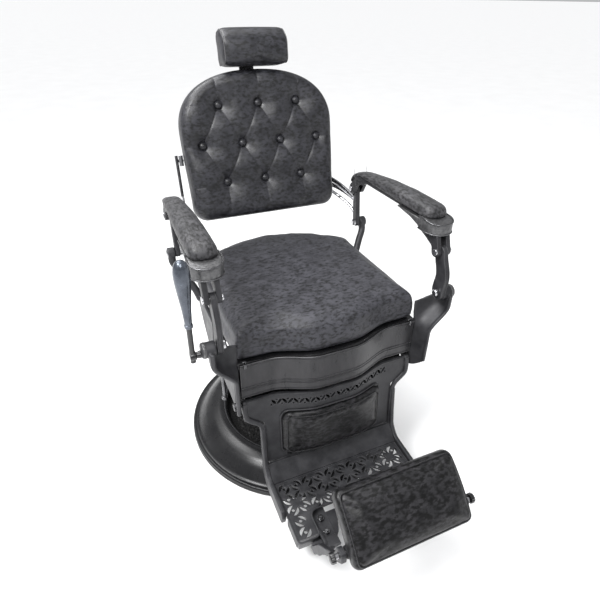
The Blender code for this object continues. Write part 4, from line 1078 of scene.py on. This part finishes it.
def make_leg_panel():
    heights = [LEG_BOTTOM + (LEG_TOP - LEG_BOTTOM) * k / 60 for k in range(61)]
    right = [Vector((leg_half(z), z)) for z in heights]
    outline = right + [Vector((-p.x, p.y)) for p in reversed(right)]
    holes = []
    for side in (-1, 1):
        for k in range(12):
            x, z = 0.009 + 0.0142 * k, 0.356 + 0.0004 * k
            holes.append(leaf(side * x, z, 0.0225, 0.0078, side * (0.95 if k % 2 else 2.19)))
            holes.append(circle(side * (x + 0.0071), z + (-0.0072 if k % 2 else 0.0072), 0.003, 12))
        for k in range(6):
            tilt = side * (0.35 if k % 2 else -0.35)
            holes.append(leaf(side * (0.012 + 0.0235 * k), 0.1705, 0.02, 0.0062, tilt))

    # A dark sheet close behind the fretwork: painted shade, so the openings show dark rather than the floor
    # below.
    def shade_spot(i, j):
        z = 0.164 + 0.217 * j / 30
        x = 0.183 * (2 * i / 60 - 1)
        return on_leg(x, 0.01, z)

    piece("leg_panel_painted_shade", sheet(60, 30, shade_spot, 0.002), "enamel", "leg_rest", sharp=60)
    panel = plate([outline, *holes], -0.007, 0, "Y")
    gridded(panel, 0, -0.25, 0.25, 0.006)
    gridded(panel, 2, LEG_BOTTOM, LEG_TOP, 0.01)
    moved(panel, lambda co: on_leg(*co))
    y, z = LEG_PIVOT
    lug = [(y - 0.013, 0.335, 0.004), (y + 0.012, 0.34, 0.01), (y + 0.013, z + 0.013, 0.012),
           (y - 0.01, z + 0.013, 0.01)]
    lugs = [slab(lug, low, low + 0.012) for low in (LEG_SHOULDER - 0.0125, -LEG_SHOULDER + 0.0005)]
    piece("leg_panel_casting", together(panel, *lugs), "cast", "leg_rest", ["leg_panel"], 35)
    straps = []
    for side in (-1, 1):
        route = bent([(0.199, 0.14), (0.199, 0.2), (0.1985, 0.25), (0.2, 0.282), (0.208, 0.303),
                      (0.226, 0.318), (0.24, 0.332), (0.2435, 0.352), (0.2435, 0.38)], 8)
        rings = []
        for k, spot in enumerate(route):
            along = (route[min(k + 1, len(route) - 1)] - route[max(k - 1, 0)]).normalized()
            across = Vector((-along.y, along.x))
            ring = []
            for n in range(16):
                turn = 2 * math.pi * n / 16
                flat = spot + across * (0.0068 * squared(math.cos(turn), 0.6))
                depth = 0.0045 * squared(math.sin(turn), 0.6)
                y = leg_front(flat.x, max(flat.y, LEG_BOTTOM)) + depth - 0.0015
                ring.append(Vector((side * flat.x, y, flat.y)))
            rings.append(ring)
        straps.append(lofted(rings))
    top_edge = tube([on_leg(-0.245 + 0.49 * k / 90, -0.0003, 0.383) for k in range(91)], 0.0022, 5)
    piece("leg_panel_straps", together(*straps, top_edge), "cast", "leg_rest", sharp=60)

    rail = slab([
        (-0.284, 0.288, 0.004), (-0.269, 0.288, 0.004), (-0.276, 0.2, 0.1), (-0.282, 0.122, 0.03),
        (-0.312, 0.092, 0.03), (-0.425, 0.074, 0.012), (-0.432, 0.105, 0.008), (-0.425, 0.124, 0.008),
        (-0.326, 0.132, 0.03), (-0.303, 0.16, 0.03), (-0.294, 0.21, 0.1),
    ], RAIL_IN, RAIL_IN + 0.012, bevel=0.003, steps=12)
    pair("leg_rail_strap", rail, "cast", "leg_rest", ["leg_rail"])


def make_calf_pad():
    half, low, high = 0.148, 0.183, 0.326
    middle = (low + high) / 2

    def outline(inset):
        loop = rectangle(half - inset, (high - low) / 2 - inset, max(0.021 - inset * 0.4, 0.004))
        return [p + Vector((0, middle)) for p in loop]

    profile = [(0.004, -0.002), (0.0, -0.004), (0.0, -0.009), (0.002, -0.0135), (0.006, -0.0165),
               (0.013, -0.018), (0.022, -0.0186)]
    mesh = pillow(outline, profile, lambda a, b, c: (a, c, b), inner=12, count=260)
    mesh = puffed(mesh, 0.004, 0.003, pinned=lambda co: co.y > -0.0045)
    moved(mesh, lambda co: on_leg(*co))
    cushion("calf_pad_cover", mesh, "shaded_pad_leather", "leg_rest", "calf_pad")
    rim = [on_leg(p.x, -0.0022, p.y) for p in spaced(outline(-0.0025), 200)]
    piece("calf_pad_rim", tube(rim, 0.0024, 5, closed=True), "cast", "leg_rest", sharp=60)
    line = [on_leg(p.x, -0.018, p.y) for p in spaced(outline(0.0085), 200)]
    piece("calf_pad_piping", tube(line, 0.0013, 4, closed=True), "piping", "leg_rest", sharp=80)


def make_footplate():
    half, length, wing, recess = RAIL_IN - 0.0008, 0.174, 0.07, 0.136
    place = Matrix.Translation((0, -0.3365, 0.1165)) @ Matrix.Rotation(math.atan2(0.012, length), 4, "X")
    edge = filleted([
        (-half, 0, 0.002), (-half, -length, 0.01), (-recess, -length, 0.01), (-recess, -length + wing, 0.02),
        (recess, -length + wing, 0.02), (recess, -length, 0.01), (half, -length, 0.01), (half, 0, 0.002),
    ])
    pitch_x, pitch_y = 0.0345, 0.0325
    cells = [(x * pitch_x, y) for x in range(-5, 6) for y in (-0.0195, -0.052, -0.0845)]
    cells += [(side * 0.166, y) for side in (-1, 1) for y in (-0.118, -0.15)]
    holes = []
    for x, y in cells:
        turn = math.pi / 4 * (1 if (round(x / pitch_x) + round(y / pitch_y)) % 2 else -1)
        holes += [crescent(x, y, turn), crescent(x, y, turn + math.pi)]
        holes.append(circle(x, y, 0.0046, 14))
    top = plate([edge, *holes], -0.006, 0, place=place, bevel=0.0008)
    flange = [(-0.436, 0.078, 0.003), (-0.498, 0.0705, 0.006), (-0.507, 0.102, 0), (-0.436, 0.106, 0)]
    flanges = [slab(flange, low, low + 0.006, bevel=0.001) for low in (half - 0.0062, -half + 0.0002)]
    lips = []
    for x in (-(half + recess) / 2, (half + recess) / 2):
        lip = block((half - recess - 0.002, 0.01, 0.028), (x, -length + 0.0055, -0.0138), 0.003)
        lip.transform(place)
        lips.append(lip)
    piece("footplate_fretwork", together(top, *flanges), "cast", "leg_rest", ["footplate"], 35)
    piece("footplate_lips", together(*lips), "hammered", "leg_rest")
    rim = [place @ Vector((p.x * 0.992, p.y + 0.0012 if p.y < -0.05 else p.y, 0.0002))
           for p in spaced(edge, 320)]
    piece("footplate_rim", tube(rim, 0.0022, 4, closed=True), "cast", "leg_rest", sharp=60)


def make_pad_clamps():
    gusset = slab([
        (0.056, -0.446, 0.004), (0.134, -0.446, 0.004), (0.16, -0.52, 0.012), (0.158, -0.545, 0.008),
        (0.112, -0.545, 0.014), (0.08, -0.505, 0.02)], 0.083, 0.0905, "Z", steps=10)
    rib = slab([
        (-0.452, 0.088, 0.002), (-0.452, 0.096, 0.003), (-0.5, 0.106, 0.02), (-0.532, 0.108, 0.006),
        (-0.536, 0.088, 0.004)], 0.128, 0.136, steps=10)
    pair("pad_arm_gusset", together(gusset, rib), "cast", "leg_rest")
    hardware = []
    for x in (-0.112, 0.112):
        hardware += [
            hex_head(0.0095, 0.008, (x, -0.462, 0.093)),
            hex_head(0.0085, 0.007, (x, -0.5, 0.0925)),
            rod(0.0045, 0.1, 0.108, (x, -0.462), "Z", 24, 0.001),
            rod(0.004, 0.098, 0.105, (x, -0.5), "Z", 24, 0.001),
        ]
    piece("pad_clamp_bolts", together(*hardware), "dark_chrome", "leg_rest", sharp=30)


def make_foot_pad():
    half_x, half_y = FOOTPAD_HALF

    def outline(inset):
        return rectangle(half_x - inset, half_y - inset, max(0.016 - inset * 0.6, 0.004))

    def crown(y):
        return 0.009 * (1 - (y / half_y) ** 2)

    def crowned(mesh):
        return moved(mesh, lambda co: co + Vector((0, 0, crown(co.y) * smoothstep((co.z + 0.024) / 0.02))))

    band = [(0.01, -0.029), (0.003, -0.028), (0.0006, -0.0245), (0.0, -0.018), (0.0006, -0.011),
            (0.0022, -0.005), (0.006, -0.0015), (0.011, -0.0008)]
    mesh = crowned(pillow(outline, band, inner=4))
    mesh.transform(FOOTPAD_FRAME)
    lugs = [rod(0.0135, low, low + 0.022, PAD_PIVOT) for low in (half_x - 0.022, -half_x)]
    piece("foot_pad_rolled_edge", mesh, "shaded_pad_leather", "foot_pad", ["foot_pad_shell"], 80)
    piece("foot_pad_lugs", together(*lugs), "cast", "foot_pad")
    face = [(0.009, -0.002), (0.008, 0.002), (0.0095, 0.0062), (0.015, 0.0092), (0.024, 0.0104)]
    mesh = pillow(outline, face, crown=0.003)
    mesh = puffed(mesh, 0.004, 0.003, pinned=lambda co: co.z < 0.0)
    for vertex in mesh.vertices:
        co = vertex.co
        vertex.co.z += 0.0005 * noise.noise(Vector((co.x * 24, co.y * 24, 5)))
    crowned(mesh).transform(FOOTPAD_FRAME)
    cushion("foot_pad_face", mesh, "shaded_pad_leather", "foot_pad", "foot_pad_cushion")
    line = [FOOTPAD_FRAME @ Vector((p.x, p.y, 0.0015 + crown(p.y))) for p in spaced(outline(0.0078), 220)]
    piece("foot_pad_piping", tube(line, 0.0019, 5, closed=True), "piping", "foot_pad", sharp=80)
    turns = [2 * math.pi * k / 96 for k in range(96)]
    flutes = [(0.0122 - 0.0009 * (0.5 + 0.5 * math.cos(12 * t)), t) for t in turns]
    y, z = PAD_PIVOT
    rings = []
    for x, scale in ((0.1757, 0.86), (0.1765, 1.0), (0.1835, 1.0), (0.1862, 0.88), (0.1878, 0.6),
                     (0.1882, 0.15)):
        rings.append([Vector((x, y + r * scale * math.cos(t), z + r * scale * math.sin(t)))
                      for r, t in flutes])
    pair("foot_pad_fluted_knob", lofted(rings), "enamel", "foot_pad", ["foot_pad_knob"], 50)


# ---------------------------------------------------------------- pump lever
def make_lever():
    y, z = LEVER_PIVOT
    shaft = lathe([
        (0, -BOSS_OUT - 0.0008), (0.009, -BOSS_OUT - 0.0008), (0.007, LEVER_X + 0.008),
        (0.0105, LEVER_X + 0.007), (0.0105, LEVER_X - 0.006), (0, LEVER_X - 0.007),
    ], 0.0015, 48, facing="X", at=(0, y, z))
    stem = tube(bent([(LEVER_X, y, z - 0.016), (LEVER_X, y, z), (LEVER_X, y - 0.0015, z + 0.04),
                      (LEVER_X, y - 0.004, z + 0.084)], 8), 0.0062, 8)
    piece("lever_crank", together(shaft, stem), "enamel", "lever", ["pump_lever_arm"])
    foot = (LEVER_X, y - 0.004, z)
    grip = lathe([
        (0, 0.238), (0.008, 0.235), (0.0145, 0.226), (0.0175, 0.21), (0.017, 0.19),
        (0.014, 0.16), (0.01, 0.125), (0.0075, 0.0805), (0, 0.0805),
    ], 0.008, 64, 8, at=foot)
    piece("lever_teardrop_grip", grip, "blued", "lever", ["pump_lever_grip"], 60)
    collar = [(0.006, 0.08), (0.0092, 0.08), (0.0092, 0.087), (0.006, 0.089)]
    piece("lever_collar", lathe(collar, 0.001, 48, closed=True, at=foot), "blued", "lever")


def make_undercarriage():
    spot = (-0.256, -0.1)
    hanger = together(tube([(*spot, 0.372), (*spot, 0.262)], 0.0052, 8),
                      rod(0.0085, 0.254, 0.266, spot, "Z", edge=0.002),
                      rod(0.008, 0.352, 0.362, spot, "Z", edge=0.0015))
    piece("hanger_rod", hanger, "dark_chrome", "seat")


# ---------------------------------------------------------------- studio
def make_studio():
    bpy.context.scene.view_settings.view_transform = "Standard"
    far = 600
    corners = [(-far, -far, 0), (far, -far, 0), (far, far, 0), (-far, far, 0)]
    floor = helper("floor", mesh_of(corners, [(0, 1, 2, 3)]))
    floor.data.materials.append(LOOKS["floor"])
    world = bpy.data.worlds.new("studio")
    bpy.context.scene.world = world
    world.use_nodes = True
    background = world.node_tree.nodes["Background"].inputs
    background["Color"].default_value, background["Strength"].default_value = (0.97, 0.98, 1.0, 1), 0.5
    for name, at, aim, size, power in (
        ("key", (-1.5, -0.7, 2.5), (0, 0.1, 0.8), (0.8, 0.8), 58),
        ("front", (-0.5, -1.75, 2.45), (0, 0.2, 0.8), (0.9, 0.9), 25),
        ("top", (-0.9, 1.0, 2.7), (0, 0.0, 0.5), (1.2, 1.2), 30),
        ("fill", (2.6, -1.6, 1.6), (0, -0.1, 0.5), (1.6, 1.6), 3),
    ):
        light = bpy.data.lights.new(name, "AREA")
        light.shape, light.size, light.size_y, light.energy = "RECTANGLE", *size, power
        facing = (Vector(aim) - Vector(at)).to_track_quat("-Z", "Y").to_matrix().to_4x4()
        helper(name, light).matrix_world = Matrix.Translation(at) @ facing
    sun = bpy.data.lights.new("overhead", "SUN")
    sun.energy, sun.angle = 2.0, math.radians(60)
    sunward = Vector((-0.25, 0.3, 1)).to_track_quat("Z", "Y").to_matrix()
    helper("overhead", sun).matrix_world = sunward.to_4x4()


def make_camera():
    azimuth, elevation, roll = math.radians(-23.919), math.radians(32.68), math.radians(0.906)
    level = math.cos(elevation)
    back = Vector((math.sin(azimuth) * level, -math.cos(azimuth) * level, math.sin(elevation)))
    right = Vector((math.cos(azimuth), math.sin(azimuth), 0))
    up = back.cross(right)
    rolled_right = math.cos(roll) * right + math.sin(roll) * up
    rolled_up = -math.sin(roll) * right + math.cos(roll) * up
    data = bpy.data.cameras.new("camera")
    data.lens, data.sensor_width = 28.42, 36
    camera = helper("camera", data)
    pose = Matrix((rolled_right, rolled_up, back)).transposed().to_4x4()
    pose.translation = (-0.46906, -1.11088, 1.24975)
    camera.matrix_world = pose
    bpy.context.scene.camera = camera


make_camera()
make_studio()
dress_frame()
make_base()
make_pump()
make_side_frames()
make_apron()
make_seat()
make_back()
make_back_arms()
make_headrest()
make_armrest_pads()
make_armrests()
make_posts()
make_leg_panel()
make_calf_pad()
make_footplate()
make_pad_clamps()
make_foot_pad()
make_lever()
make_undercarriage()
